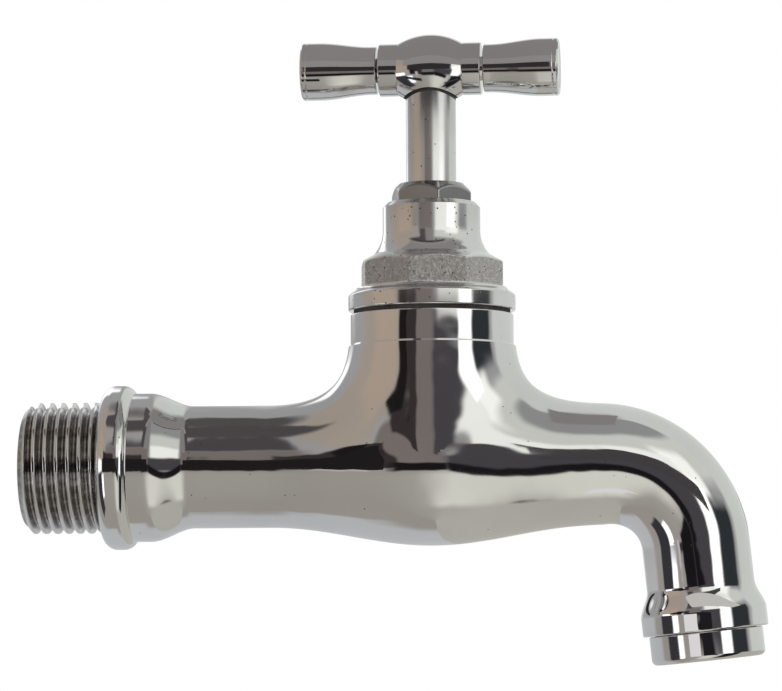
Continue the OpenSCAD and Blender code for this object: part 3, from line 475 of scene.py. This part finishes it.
def bonnet_patches(sharpness=160, blend=0.5, flare_power=2.2, sink=0.02, foot_lap=1.1, corner_lead=1.2):
    rim_r, step_r, thread_r = flange_d / 2, octagon_r + octagon_step, bonnet_thread_d / 2
    t = full_turn(BONNET_ROUND)
    side = polygon_r(t, 2 * octagon_r * math.cos(math.pi / 8), 8, -90 - octagon_turn, sharpness)
    foot = [(flange_z - BONNET_SPIGOT, thread_r), (flange_z, thread_r), (flange_z, rim_r)]
    foot += ogee((rim_z, rim_r), (octagon_z, step_r), RIM_STEPS) + [(octagon_z, octagon_r - foot_lap)]
    upper = bonnet_top - bonnet_chamfer
    stops = [octagon_z - sink, octagon_corner_z - corner_lead, flare_z, bonnet_neck_z, upper]
    z = stretches(stops, BONNET_STEPS)
    chamfer = octagon_r - (z - octagon_corner_z) / (flare_z - octagon_corner_z) * (octagon_r - octagon_top_r)
    rise = np.clip((z - flare_z) / (bonnet_neck_z - flare_z), 0, 1)
    flare = bonnet_neck_r + (octagon_top_r - bonnet_neck_r) * (1 - rise) ** flare_power
    r, under = turned_prism(side, np.where(z < flare_z, chamfer, flare), blend)
    rough = smooth(under / FLAT_FADE) * smooth((z[:, None] - octagon_z) / FOOT_FADE)
    top = [(upper, bonnet_neck_r), (bonnet_top, bonnet_neck_r - bonnet_chamfer)]
    top += [(bonnet_top, stuffing_d / 2), (bonnet_top - STUFFING_DEPTH, stuffing_d / 2)]
    return [
        lathe(SPINDLE, foot, CAST_EDGE, count=BONNET_ROUND),
        polar_patch(SPINDLE, z, t, r, rough),
        lathe(SPINDLE, top, TURNED_EDGE, count=BONNET_ROUND),
    ]


def gland_patches(sharpness=120, blend=0.35, foot_inset=0.3):
    t = full_turn(GLAND_ROUND)
    corner_r = gland_flats / 2 / math.cos(math.pi / 6)
    top_r, bottom, bore_r = corner_r - gland_chamfer, bonnet_top + GLAND_GAP, stem_d / 2 + STEM_GAP
    side = polygon_r(t, gland_flats, 6, -90 + gland_turn, sharpness)
    z = np.linspace(bottom, gland_top, GLAND_STEPS + 1)
    r, _ = turned_prism(side, top_r + (gland_top - z), blend)
    foot = [(bottom, stuffing_d / 2 - foot_inset), (bottom, gland_flats / 2)]
    top = [(gland_top, top_r), (gland_top, bore_r), (gland_top - GLAND_BORE, bore_r)]
    return [
        lathe(SPINDLE, foot, SHARP_EDGE, count=GLAND_ROUND),
        polar_patch(SPINDLE, z, t, r),
        lathe(SPINDLE, top, TURNED_EDGE, count=GLAND_ROUND),
    ]


def spindle_patches(sharpness=90, square_steps=3):
    r, thread_r = stem_d / 2, spindle_thread_d / 2
    core_r = thread_r - SPINDLE_THREAD_DEPTH
    foot = [(spindle_z, SPINDLE_CORE_R), (spindle_z, core_r)]
    thread = screw(
        SPINDLE, spindle_z, spindle_thread_top, thread_r, SPINDLE_THREAD_DEPTH, thread_pitch,
        ceiling=lambda s: thread_r + 0 * s, fade=SPINDLE_FADE
    )
    shoulder = [(spindle_thread_top, core_r), (spindle_thread_top, r), (stem_top, r), (stem_top, STEM_CORE_R)]
    t = full_turn()
    z = np.linspace(stem_top, square_top, square_steps + 1)
    square = polygon_r(t, square_w, 4, 45 - bar_turn, sharpness)
    block = polar_patch(SPINDLE, z, t, np.broadcast_to(square, (len(z), len(t))))
    lid = lathe(SPINDLE, [(square_top, square_w / 2), (square_top, 0)], LID_EDGE)
    return [lathe(SPINDLE, foot), thread, lathe(SPINDLE, shoulder, STEM_EDGE), block, lid]


# Painted shade: a dark sleeve on the stem that follows the hub's mouth, standing in for the shadow in the gap
# there
def mouth_shade_patches(below=0.45, above=0.5, skin=0.03, steps=4):
    t = full_turn()
    r = stem_d / 2 + skin
    x, y = hub_mouth_d / 2 * np.cos(t), hub_mouth_d / 2 * np.sin(t)
    crown = hub_d / 2 - hub_crown_r + np.sqrt(hub_crown_r**2 - x**2)
    mouth_z = bar_z - np.sqrt(crown**2 - y**2)
    height = np.linspace(-below, above, steps + 1)[:, None] + mouth_z[None, :]
    points = on_axis(SPINDLE, height, np.full(height.shape, r), np.broadcast_to(t, height.shape))
    out = np.broadcast_to(np.stack([np.cos(t), np.sin(t), 0 * t], -1), points.shape)
    return [(points, out, np.zeros(height.shape))]


def hub_profile(step=0.12):
    half, span, collar_r = hub_len / 2, hub_span / 2, hub_collar_d / 2
    end = math.degrees(math.asin(half / hub_crown_r))
    left = [(-span, 0), (-span, collar_r), (-half - step, collar_r)]
    crown = arc((0, hub_d / 2 - hub_crown_r), hub_crown_r, 90 + end, 90 - end, CURVE_STEPS)
    right = [(half + step, collar_r), (span, collar_r), (span, 0)]
    return left + crown + right


# One arm of the bar, with a fine groove near its end and a slightly sunk end face
def arm_patches(side, rim=0.9, groove=0.1, groove_depth=0.09, face_rim=1.1, face_slope=0.3, face_sink=0.12):
    root_x, end_x, stud_x = hub_span / 2 + arm_groove, bar_len / 2, hub_span / 2 - arm_stud_len
    root_r, end_r, stud_r = arm_root_d / 2, arm_end_d / 2, arm_stud_d / 2
    rim_x = end_x - rim
    profile = [(stud_x, 0), (stud_x, stud_r), (root_x, stud_r), (root_x, root_r)]
    profile += ogee((root_x + arm_neck, root_r), (end_x - arm_land, end_r), CURVE_STEPS)
    profile += [(rim_x - groove, end_r), (rim_x, end_r - groove_depth), (rim_x + groove, end_r)]
    profile += [(end_x - arm_chamfer / 2, end_r), (end_x, end_r - arm_chamfer / 2), (end_x, end_r - face_rim)]
    profile += [(end_x - face_sink, end_r - face_rim - face_slope), (end_x - face_sink, 0)]
    origin, across, up, ahead = BAR
    return [lathe((origin, side * across, up, side * ahead), profile, TURNED_EDGE)]


def ring_patches():
    outer, spigot, bore, lip = ring_d / 2, ring_thread_d / 2, ring_bore_d / 2, ring_lip_d / 2
    top, step, lip_s = nozzle_end_s - ring_thread_len, nozzle_end_s + RING_GAP, ring_end_s - ring_lip_t
    profile = [(lip_s, bore), (top, bore), (top, spigot), (step, spigot), (step, outer)]
    profile += arc((ring_end_s - ring_round, outer - ring_round), ring_round, 90, 0)
    profile += [(ring_end_s, lip), (lip_s, lip), (lip_s, bore)]
    return [lathe(NOZZLE, profile, RING_EDGE)]


# Cuts round holes into the hub and gives its crown the turned surface's own normals again
def cut_holes(obj, cutters, profile, sharp=30, margin=0.2, same_way=0.9):
    for tool in cutters:
        step = obj.modifiers.new("cut", "BOOLEAN")
        step.object = tool
        step.solver = "EXACT"
        step.material_mode = "TRANSFER"
    bpy.context.view_layer.update()
    mesh = bpy.data.meshes.new_from_object(obj.evaluated_get(bpy.context.evaluated_depsgraph_get()))
    obj.modifiers.clear()
    for tool in cutters:
        bpy.data.objects.remove(tool)
    mesh.shade_smooth()
    mesh.set_sharp_from_angle(angle=math.radians(sharp))
    origin, _, _, ahead = BAR
    co = np.array([v.co for v in mesh.vertices]) / MM - origin
    along = co @ ahead
    radial = unit(co - along[:, None] * ahead)
    p = soften(profile, TURNED_EDGE)
    out = profile_normals(p)
    n_along, n_out = (np.interp(along, p[:, 0], out[:, k]) for k in (0, 1))
    ideal = unit(n_along[:, None] * ahead + n_out[:, None] * radial)
    crown = np.abs(along) < hub_len / 2 - margin
    loops = np.array([c.vector[:] for c in mesh.corner_normals])
    for polygon in mesh.polygons:
        for k in polygon.loop_indices:
            v = mesh.loops[k].vertex_index
            if crown[v] and ideal[v] @ np.array(polygon.normal) > same_way:
                loops[k] = ideal[v]
    mesh.normals_split_custom_set(loops.tolist())
    obj.data = mesh


# Closed cylinder used as a cutter
def cutter(where, start, end, d, material, count=128):
    t = full_turn(count)[:-1]
    centre, rim = np.zeros(1), np.full(count, d / 2)
    points = [on_axis(where, np.full(1, start), centre, t[:1]), on_axis(where, np.full(count, start), rim, t)]
    points += [on_axis(where, np.full(count, end), rim, t), on_axis(where, np.full(1, end), centre, t[:1])]
    faces = []
    for k in range(count):
        near, near_next = 1 + k, 1 + (k + 1) % count
        far, far_next = near + count, near_next + count
        faces += [[0, near, near_next], [near, far, far_next, near_next], [far, 1 + 2 * count, far_next]]
    mesh = bpy.data.meshes.new("cutter")
    mesh.from_pydata((np.concatenate(points) * MM).tolist(), [], faces)
    mesh.materials.append(material)
    return link(bpy.data.objects.new("cutter", mesh))


# Node tree of one material, in metres of the object's own frame
class Nodes:
    def __init__(self, name):
        self.material = bpy.data.materials.new(name)
        self.material.use_nodes = True
        self.tree = self.material.node_tree
        self.shader = self.tree.nodes["Principled BSDF"]
        self.coords = self.tree.nodes.new("ShaderNodeTexCoord").outputs["Object"]

    def add(self, kind, inputs=(), **settings):
        node = self.tree.nodes.new(kind)
        for key, value in settings.items():
            setattr(node, key, value)
        for key, value in dict(inputs).items():
            self.feed(node.inputs[key], value)
        return node

    def feed(self, socket, value):
        if isinstance(value, bpy.types.NodeSocket):
            self.tree.links.new(value, socket)
        else:
            socket.default_value = value

    def noise(self, scale, detail=2.0, roughness=0.5):
        inputs = {"Vector": self.coords, "Scale": scale, "Detail": detail, "Roughness": roughness}
        return self.add("ShaderNodeTexNoise", inputs).outputs["Fac"]

    def spread(self, value, low, high, out_low=0.0, out_high=1.0):
        inputs = {"Value": value, "From Min": low, "From Max": high, "To Min": out_low, "To Max": out_high}
        return self.add("ShaderNodeMapRange", inputs, interpolation_type="SMOOTHSTEP").outputs["Result"]

    def math(self, operation, a, b):
        return self.add("ShaderNodeMath", {0: a, 1: b}, operation=operation).outputs["Value"]

    # A mix node has sockets of the same name for each kind of value, so those for colours go by number
    def mix(self, factor, a, b):
        node = self.add("ShaderNodeMix", data_type="RGBA")
        self.feed(node.inputs["Factor"], factor)
        self.feed(node.inputs[6], a)
        self.feed(node.inputs[7], b)
        return node.outputs[2]

    def bump(self, height, distance, strength=1.0, below=None):
        inputs = {"Height": height, "Distance": distance, "Strength": strength}
        if below is not None:
            inputs["Normal"] = below
        return self.add("ShaderNodeBump", inputs).outputs["Normal"]

    def set(self, **values):
        for key, value in values.items():
            self.feed(self.shader.inputs[key.replace("_", " ")], value)
        return self.material


def opaque(colour, share=1.0):
    return (*[share * c for c in colour], 1)


# Noise per metre of the polishing waves, the thin film and the places where pits gather
WAVE_SCALE, FILM_SCALE, PIT_GROUPS = 95.0, 45.0, 150.0
FILM_RANGE, GRAIN_RANGE, DULL_SHARE = (0.35, 0.75), (0.25, 0.8), (1.0, 0.35)
PIT_COLOUR, PIT_ROUGH, PIT_FADE = (0.10, 0.09, 0.08), 0.3, 0.06
MOTTLE_RANGE, SPECK_RANGE, GLOSS_RANGE = (0.3, 0.7), (0.35, 0.9), (0.2, 0.8)
CHROME = (0.72, 0.715, 0.705)


# Polished plate: slow waves of hand polishing, a thin film, a few pits, and bare casting where the finish is
# rough, which in thread valleys is painted shade
def chrome(
    name, polish, waves, dull=(0.5, 0.48, 0.45), clean=CHROME, film_shade=0.93,
    coarse_rough=0.2, coarse_grain=1200.0, coarse_depth=0.08, pit_scale=600.0, pit_share=0.56, pit_r=0.15
):
    m = Nodes(name)
    coarse_and_shade = m.add("ShaderNodeAttribute", attribute_name="coarse_and_shade").outputs["Fac"]
    film = m.spread(m.noise(FILM_SCALE, detail=4.0), *FILM_RANGE)
    cells = m.add("ShaderNodeTexVoronoi", {"Vector": m.coords, "Scale": pit_scale}).outputs["Distance"]
    chosen = m.spread(m.noise(PIT_GROUPS, detail=1.0), pit_share, pit_share + PIT_FADE)
    pit_edge = pit_r * MM * pit_scale
    pits = m.math("MULTIPLY", m.spread(cells, pit_edge, pit_edge / 2), chosen)
    grain = m.noise(coarse_grain, detail=3.0, roughness=0.65)
    shade = m.mix(film, opaque(clean), opaque(clean, film_shade))
    # Dull colour by that share: bare casting, and painted shade in thread valleys
    bare_and_shade = m.math("MULTIPLY", coarse_and_shade, m.spread(grain, *GRAIN_RANGE, *DULL_SHARE))
    shade = m.mix(bare_and_shade, shade, opaque(dull))
    shade = m.mix(pits, shade, opaque(PIT_COLOUR))
    gloss = m.spread(film, 0.0, 1.0, *polish)
    gloss = m.math("ADD", gloss, m.math("MULTIPLY", coarse_and_shade, coarse_rough))
    gloss = m.math("ADD", gloss, m.math("MULTIPLY", pits, PIT_ROUGH))
    normal = m.bump(m.noise(WAVE_SCALE, roughness=0.45), waves * MM)
    normal = m.bump(grain, coarse_depth * MM, coarse_and_shade, normal)
    return m.set(Base_Color=shade, Roughness=gloss, Normal=normal, Metallic=1.0)


# Unplated or dull pieces: two shades, darker specks, their own grain, and roughness that follows it
def plain(name, low, high, grain, depth, rough, metallic=0.0, specks=0.5, slower=9, speck_shade=0.6):
    m = Nodes(name)
    fine, slow = m.noise(grain, detail=4.0, roughness=0.6), m.noise(grain / slower)
    shade = m.mix(m.spread(slow, *MOTTLE_RANGE), opaque(low), opaque(high))
    shade = m.mix(m.spread(fine, *SPECK_RANGE, 0.0, specks), shade, opaque(low, speck_shade))
    gloss = m.spread(fine, *GLOSS_RANGE, *rough)
    return m.set(Base_Color=shade, Roughness=gloss, Normal=m.bump(fine, depth * MM), Metallic=metallic)


# Plated materials: the ends of their roughness, and the depth of their waves in millimetres
# cast_chrome's dark dull colour paints shade into the inlet thread's valleys
cast_chrome = chrome(
    "cast_chrome", (0.03, 0.08), 0.24, dull=(0.20, 0.19, 0.18),
    coarse_rough=0.12, coarse_grain=900.0, coarse_depth=0.05, pit_share=0.53
)
bonnet_chrome = chrome(
    "bonnet_chrome", (0.12, 0.24), 0.06, dull=(0.42, 0.40, 0.38), film_shade=0.72,
    coarse_rough=0.05, coarse_grain=1750.0, coarse_depth=0.50, pit_scale=950.0, pit_share=0.40, pit_r=0.18
)
stem_chrome = chrome(
    "stem_chrome", (0.14, 0.26), 0.02, film_shade=0.80, pit_scale=700.0, pit_share=0.42, pit_r=0.16
)
turned_chrome = chrome("turned_chrome", (0.04, 0.08), 0.02)
nut_chrome = chrome("nut_chrome", (0.12, 0.2), 0.03, dull=(0.4, 0.4, 0.4), clean=(0.37, 0.37, 0.37))

# Other materials: two shades, grain per metre, its depth in millimetres, roughness, and share of metal
# Near-black painted shade for the walls of the hub's holes and the sleeve at its mouth
hole_shade_black = plain("hole_shade_black", (0.012, 0.011, 0.010), (0.03, 0.028, 0.025), 900.0, 0.02, (0.6, 0.9))
brass = plain("bare_brass", (0.60, 0.43, 0.19), (0.74, 0.57, 0.29), 900.0, 0.02, (0.22, 0.42), 1.0)
rubber = plain("rubber", (0.018, 0.018, 0.018), (0.035, 0.034, 0.033), 1400.0, 0.03, (0.55, 0.8))
fibre = plain("fibre", (0.028, 0.024, 0.022), (0.06, 0.05, 0.045), 1800.0, 0.05, (0.7, 0.95))
packing = plain("packing", (0.62, 0.60, 0.54), (0.74, 0.72, 0.66), 1600.0, 0.06, (0.6, 0.85))
plastic = plain("white_plastic", (0.76, 0.76, 0.74), (0.82, 0.82, 0.80), 700.0, 0.008, (0.3, 0.42))
steel = plain("steel", (0.50, 0.50, 0.51), (0.60, 0.60, 0.60), 1100.0, 0.012, (0.2, 0.38), 1.0)

# The solids that show as they are, or hardly at all
carried_over = {
    "bonnet_gasket": fibre, "gland_ring": brass, "packing_lower": packing, "packing_upper": packing,
    "aerator_gasket": rubber, "aerator_insert": plastic, "aerator_screen": steel, "jumper_valve": brass,
    "seat_washer": rubber, "washer_plate": brass, "washer_nut": brass, "handle_set_screw": steel,
}
for node, material in carried_over.items():
    mesh = frame["nodes"][node].data
    mesh.materials.clear()
    mesh.materials.append(material)

# The finished pieces
halves = tee_halves()
casting = inlet_patches() + halves + [mirrored(h) for h in halves]
casting += [bend_patch(), nozzle_patch(), band_patch()]
make_piece("casting", casting, "body_casting", "tap_body", cast_chrome)
make_piece("bonnet_piece", bonnet_patches(), "bonnet", "tap_body", bonnet_chrome)
make_piece("gland_piece", gland_patches(), "gland_nut", "tap_body", nut_chrome)
make_piece("ring_piece", ring_patches(), "outlet_ring", "tap_body", turned_chrome)
make_piece("stem_piece", spindle_patches(), "spindle", "spindle_set", stem_chrome)
# Painted shade at the hub's mouth, as a near-black sleeve on the stem
make_piece("hub_mouth_shade", mouth_shade_patches(), None, "spindle_set", hole_shade_black)
for name, side in (("right", 1), ("left", -1)):
    arm, node = arm_patches(side), f"handle_arm_{name}"
    make_piece(f"arm_{name}_piece", arm, node, "spindle_set", turned_chrome)
barrel = [lathe(BAR, hub_profile(), TURNED_EDGE)]
hub = make_piece("hub_piece", barrel, "handle_hub", "spindle_set", turned_chrome)
# The cutters pass the near-black painted shade on to the walls of the holes
hub_cutters = [
    cutter(HUB_STEM, -hub_d, -hub_seat_drop, hub_mouth_d, hole_shade_black),
    cutter(HUB_BACK, square_w / 2, hub_d, set_screw_hole_d, hole_shade_black),
]
cut_holes(hub, hub_cutters, hub_profile())

# The room that the plate shows, by bearing and height in degrees. Each panel covers those before it.
# It has the ends of its bearing and height, the fall of its height per degree of bearing,
# the softness of its sides and ends, and the shade seen in the plate
ROOM = {
    "walls": ((-200, 200), (-95, 95), 0, (1, 1), (150, 149, 150)),
    "left_wall": ((-106, -32), (2, 66), 0, (12, 12), (155, 145, 135)),
    "left_wall_low": ((-82, -44), (4, 30), 0, (12, 12), (165, 150, 136)),
    "left_ceiling": ((-128, -20), (68, 84), 0, (8, 8), (77, 74, 74)),
    "front_ceiling": ((-16, 12), (24, 95), 0, (8, 8), (126, 123, 122)),
    "front_column": ((-25, -11), (25, 61), 0, (4, 4), (71, 67, 68)),
    "left_cornice": ((-56, -22), (49, 74), 0, (6, 6), (74, 70, 71)),
    "right_ceiling": ((12, 102), (48, 95), 0, (10, 10), (138, 139, 138)),
    "right_wall_high": ((11, 98), (24, 50), 0, (9, 9), (196, 198, 191)),
    "right_window": ((38, 68), (14, 36), 0, (10, 10), (248, 248, 242)),
    "back_wall": ((93, 200), (-16, 72), 0, (8, 10), (194, 196, 192)),
    "back_wall_end": ((-200, -165), (-16, 72), 0, (10, 10), (194, 196, 192)),
    "front_wall": ((-26, 6), (-2, 25), 0, (6, 4), (114, 106, 103)),
    "front_window": ((12, 46), (10, 30), 0, (6, 5), (236, 236, 230)),
    "front_cabinet": ((5, 42), (-8, 12), 0, (6, 4), (66, 64, 67)),
    "left_floor": ((-200, 10), (-100, -8), 0, (40, 6), (147, 142, 136)),
    "back_floor": ((-200, -104), (-72, -6), 0, (14, 14), (174, 175, 177)),
    "right_floor": ((0, 200), (-100, -14), 0, (90, 8), (168, 166, 159)),
    "lit_floor": ((0, 34), (-64, -12), 0, (24, 12), (206, 205, 195)),
    "right_mat": ((42, 73), (-60, -11), 0, (6, 6), (24, 26, 30)),
    "left_post": ((-42, -29), (-3, 16), 0, (3, 3), (26, 24, 25)),
    "left_skirting": ((-36, -23), (-3.5, 4), 0, (3, 2.5), (24, 22, 23)),
    "front_post": ((-30, -17), (-6, 15), 0, (2, 2), (52, 46, 47)),
    "front_skirting": ((-19, 6), (-10, 1.2), 0, (3, 2), (24, 22, 23)),
    "right_skirting": ((6, 32), (-7.5, 5.2), 0.5, (3, 3), (24, 22, 24)),
    "right_lamp": ((40, 59), (-11, 20), 0, (4, 4), (285, 285, 282)),
    "right_door": ((58, 87), (-12, 16), 0, (6, 7), (45, 48, 50)),
    "left_mat": ((-81, -52), (-47, -4), 0, (5, 5), (50, 50, 55)),
    "left_lamp": ((-78, -53), (-4, 5), 0, (4, 3), (285, 285, 285)),
    "left_lit_floor": ((-52, -39), (-34, -8), 0, (4, 4), (285, 284, 287)),
    "front_gleam": ((-31, -26), (-9, 5), 0, (2.5, 3), (188, 172, 174)),
    "back_lamp": ((-152, -133), (14, 45), 0, (9, 9), (262, 262, 264)),
}
MIDDLE_X = 0.05
ROOM_CENTRE, ROOM_R = (MIDDLE_X, 0, 0), 0.2

# Cards close to the object. Upright ones have their depth, the ends of their width and height in millimetres,
# and the shade seen in the plate. Level ones have their height, and the ends of their width and depth
UPRIGHT_CARDS = {
    "tube_card": (-70, (-48, 24), (-10, 11), (30, 27, 28)),
    "bar_card": (-24, (29, 70), (60.2, 67.7), (46, 43, 44)),
    "hood_front": (-24, (20, 92), (67.7, 80), (136, 133, 132)),
    "spout_card": (-36, (77.8, 123), (2.5, 14.2), (64, 61, 63)),
    "ring_gleam": (-25, (80, 90), (-33, -24), (215, 213, 214)),
    "ring_card": (-25, (92, 99), (-33, -23), (30, 28, 30)),
    "back_card": (70, (-40, 120), (-7, 4), (40, 38, 40)),
}
LEVEL_CARDS = {
    "hood_top": (80, (20, 92), (-24, 12), (126, 123, 122)),
    "flare_card": (-19.8, (91, 106), (-13.5, -9.6), (186, 185, 180)),
}


# Light that a wall has to give for the plate to show a shade, by the standard curve of screens
def wall_light(shade, knee=0.04, toe=12.92, lift=0.055, power=2.4):
    s = np.array(shade) / 255
    return np.where(s > knee, ((s + lift) / (1 + lift)) ** power, s / toe) / np.array(CHROME)


# Share of each place that a panel covers
def panel(bearing, height, sides, ends, edges):
    def inside(v, low, high, edge):
        return smooth((v - low) / edge + 0.5) * smooth((high - v) / edge + 0.5)
    return (inside(bearing, *sides, edges[0]) * inside(height, *ends, edges[1]))[..., None]


# Object that only reflections show, with the shader that makes it glow
def reflected(name, mesh):
    material = bpy.data.materials.new(name)
    material.use_nodes = True
    tree = material.node_tree
    tree.nodes.clear()
    glow, out = tree.nodes.new("ShaderNodeEmission"), tree.nodes.new("ShaderNodeOutputMaterial")
    tree.links.new(glow.outputs["Emission"], out.inputs["Surface"])
    mesh.materials.append(material)
    obj = link(bpy.data.objects.new(name, mesh))
    obj.visible_camera = False
    obj.visible_diffuse = False
    obj.visible_shadow = False
    obj.visible_transmission = False
    return tree, glow


def room(columns=360, rows=180):
    bearing = np.linspace(-180, 180, columns + 1)[None, :]
    height = np.linspace(-90, 90, rows + 1)[:, None]
    b, h = np.broadcast_arrays(bearing, height)
    colour = np.zeros((*b.shape, 3))
    for sides, ends, fall, edges, shade in ROOM.values():
        cover = panel(b, h + fall * b, sides, ends, edges)
        colour = colour * (1 - cover) + cover * wall_light(shade)
    e, a = np.radians(h), np.radians(b)
    points = ROOM_CENTRE + ROOM_R * np.stack([np.sin(a) * np.cos(e), -np.cos(a) * np.cos(e), np.sin(e)], -1)
    quads = grid_quads(np.arange((rows + 1) * (columns + 1)).reshape(rows + 1, columns + 1))
    mesh = bpy.data.meshes.new("room")
    mesh.from_pydata(points.reshape(-1, 3).tolist(), [], quads.tolist())
    paint = mesh.attributes.new("room_colour", "FLOAT_COLOR", "POINT")
    paint.data.foreach_set("color", np.insert(colour, 3, 1, -1).astype(np.float32).ravel())
    tree, glow = reflected("room", mesh)
    read = tree.nodes.new("ShaderNodeAttribute")
    read.attribute_name = "room_colour"
    tree.links.new(read.outputs["Color"], glow.inputs["Color"])


def card(name, corners, shade):
    mesh = bpy.data.meshes.new(name)
    mesh.from_pydata([tuple(MM * v for v in c) for c in corners], [], [[0, 1, 2, 3]])
    _, glow = reflected(name, mesh)
    glow.inputs["Color"].default_value = opaque(wall_light(shade))


def cards():
    for name, (y, x, z, shade) in UPRIGHT_CARDS.items():
        card(name, [(x[0], y, z[0]), (x[1], y, z[0]), (x[1], y, z[1]), (x[0], y, z[1])], shade)
    for name, (z, x, y, shade) in LEVEL_CARDS.items():
        card(name, [(x[0], y[0], z), (x[1], y[0], z), (x[1], y[1], z), (x[0], y[1], z)], shade)


def floor(x=MIDDLE_X, z=-0.06, radius=1.2, count=96):
    mesh = bpy.data.meshes.new("floor")
    turn = np.linspace(0, 2 * math.pi, count, endpoint=False)
    rim = [(x + radius * math.cos(t), radius * math.sin(t), z) for t in turn]
    mesh.from_pydata([(x, 0, z), *rim], [], [[0, 1 + k, 1 + (k + 1) % count] for k in range(count)])
    low, high = (0.81, 0.805, 0.79), (0.82, 0.815, 0.80)
    mesh.materials.append(plain("floor", low, high, grain=900.0, depth=0.01, rough=(0.75, 0.9), specks=0.04))
    obj = link(bpy.data.objects.new("floor", mesh))
    obj.visible_glossy = False


# White behind the object for the camera and for reflections, plain soft light for everything else
def world(soft_colour=(0.97, 0.985, 1.0, 1), soft_strength=0.75):
    sky = bpy.data.worlds.new("studio")
    bpy.context.scene.world = sky
    sky.use_nodes = True
    tree = sky.node_tree
    tree.nodes.clear()
    path = tree.nodes.new("ShaderNodeLightPath")
    seen = path.outputs["Is Camera Ray"]
    for kind in ("Is Glossy Ray", "Is Transmission Ray"):
        either = tree.nodes.new("ShaderNodeMath")
        either.operation = "MAXIMUM"
        tree.links.new(seen, either.inputs[0])
        tree.links.new(path.outputs[kind], either.inputs[1])
        seen = either.outputs["Value"]
    soft, white = tree.nodes.new("ShaderNodeBackground"), tree.nodes.new("ShaderNodeBackground")
    soft.inputs["Color"].default_value = soft_colour
    soft.inputs["Strength"].default_value = soft_strength
    white.inputs["Color"].default_value = (1, 1, 1, 1)
    white.inputs["Strength"].default_value = 1.0
    mix, out = tree.nodes.new("ShaderNodeMixShader"), tree.nodes.new("ShaderNodeOutputWorld")
    tree.links.new(seen, mix.inputs["Fac"])
    tree.links.new(soft.outputs["Background"], mix.inputs[1])
    tree.links.new(white.outputs["Background"], mix.inputs[2])
    tree.links.new(mix.outputs["Shader"], out.inputs["Surface"])


# Soft lamp: its place, the sides of its area in metres and its power, aimed at the middle of the object
def lamp(name, spot, size, power, target=(MIDDLE_X, 0, 0.01)):
    light = bpy.data.lights.new(name, "AREA")
    light.shape = "RECTANGLE"
    light.size, light.size_y = size
    light.energy = power
    obj = link(bpy.data.objects.new(name, light))
    obj.location = spot
    obj.rotation_euler = (Vector(target) - Vector(spot)).to_track_quat("-Z", "Y").to_euler()
    obj.visible_glossy = False


# The photograph's camera: bearing, height, roll and distance found from the outline
AIM = Vector((0.047, 0, 0.019))
CAM_BEARING, CAM_HEIGHT, CAM_ROLL, CAM_DISTANCE = 4.0, -4.8, -0.29, 0.54
FOCAL_PX, CENTRE_PX = 3382.7, (397.84, 346.68)
IMAGE_W, IMAGE_H = 782, 691
SENSOR = 36.0


def camera():
    data = bpy.data.cameras.new("camera")
    data.sensor_fit = "HORIZONTAL"
    data.sensor_width = SENSOR
    data.lens = FOCAL_PX * SENSOR / IMAGE_W
    data.shift_x = (IMAGE_W / 2 - CENTRE_PX[0]) / IMAGE_W
    data.shift_y = (CENTRE_PX[1] - IMAGE_H / 2) / IMAGE_W
    data.clip_start, data.clip_end = 0.01, 20
    obj = link(bpy.data.objects.new("camera", data))
    a, e, r = map(math.radians, (CAM_BEARING, CAM_HEIGHT, CAM_ROLL))
    toward = Vector((math.sin(a) * math.cos(e), -math.cos(a) * math.cos(e), math.sin(e)))
    right = Vector((math.cos(a), math.sin(a), 0))
    up = toward.cross(right)
    right, up = math.cos(r) * right + math.sin(r) * up, math.cos(r) * up - math.sin(r) * right
    turn = Matrix((right, up, toward)).transposed().to_4x4()
    obj.matrix_world = Matrix.Translation(AIM + CAM_DISTANCE * toward) @ turn
    bpy.context.scene.camera = obj


room()
cards()
floor()
world()
lamp("window", spot=(0.75, -0.75, 0.55), size=(0.5, 0.8), power=7.0)
lamp("ceiling", spot=(-0.3, 0.2, 1.1), size=(0.9, 0.9), power=5.0)
camera()
bpy.context.scene.view_settings.view_transform = "Standard"
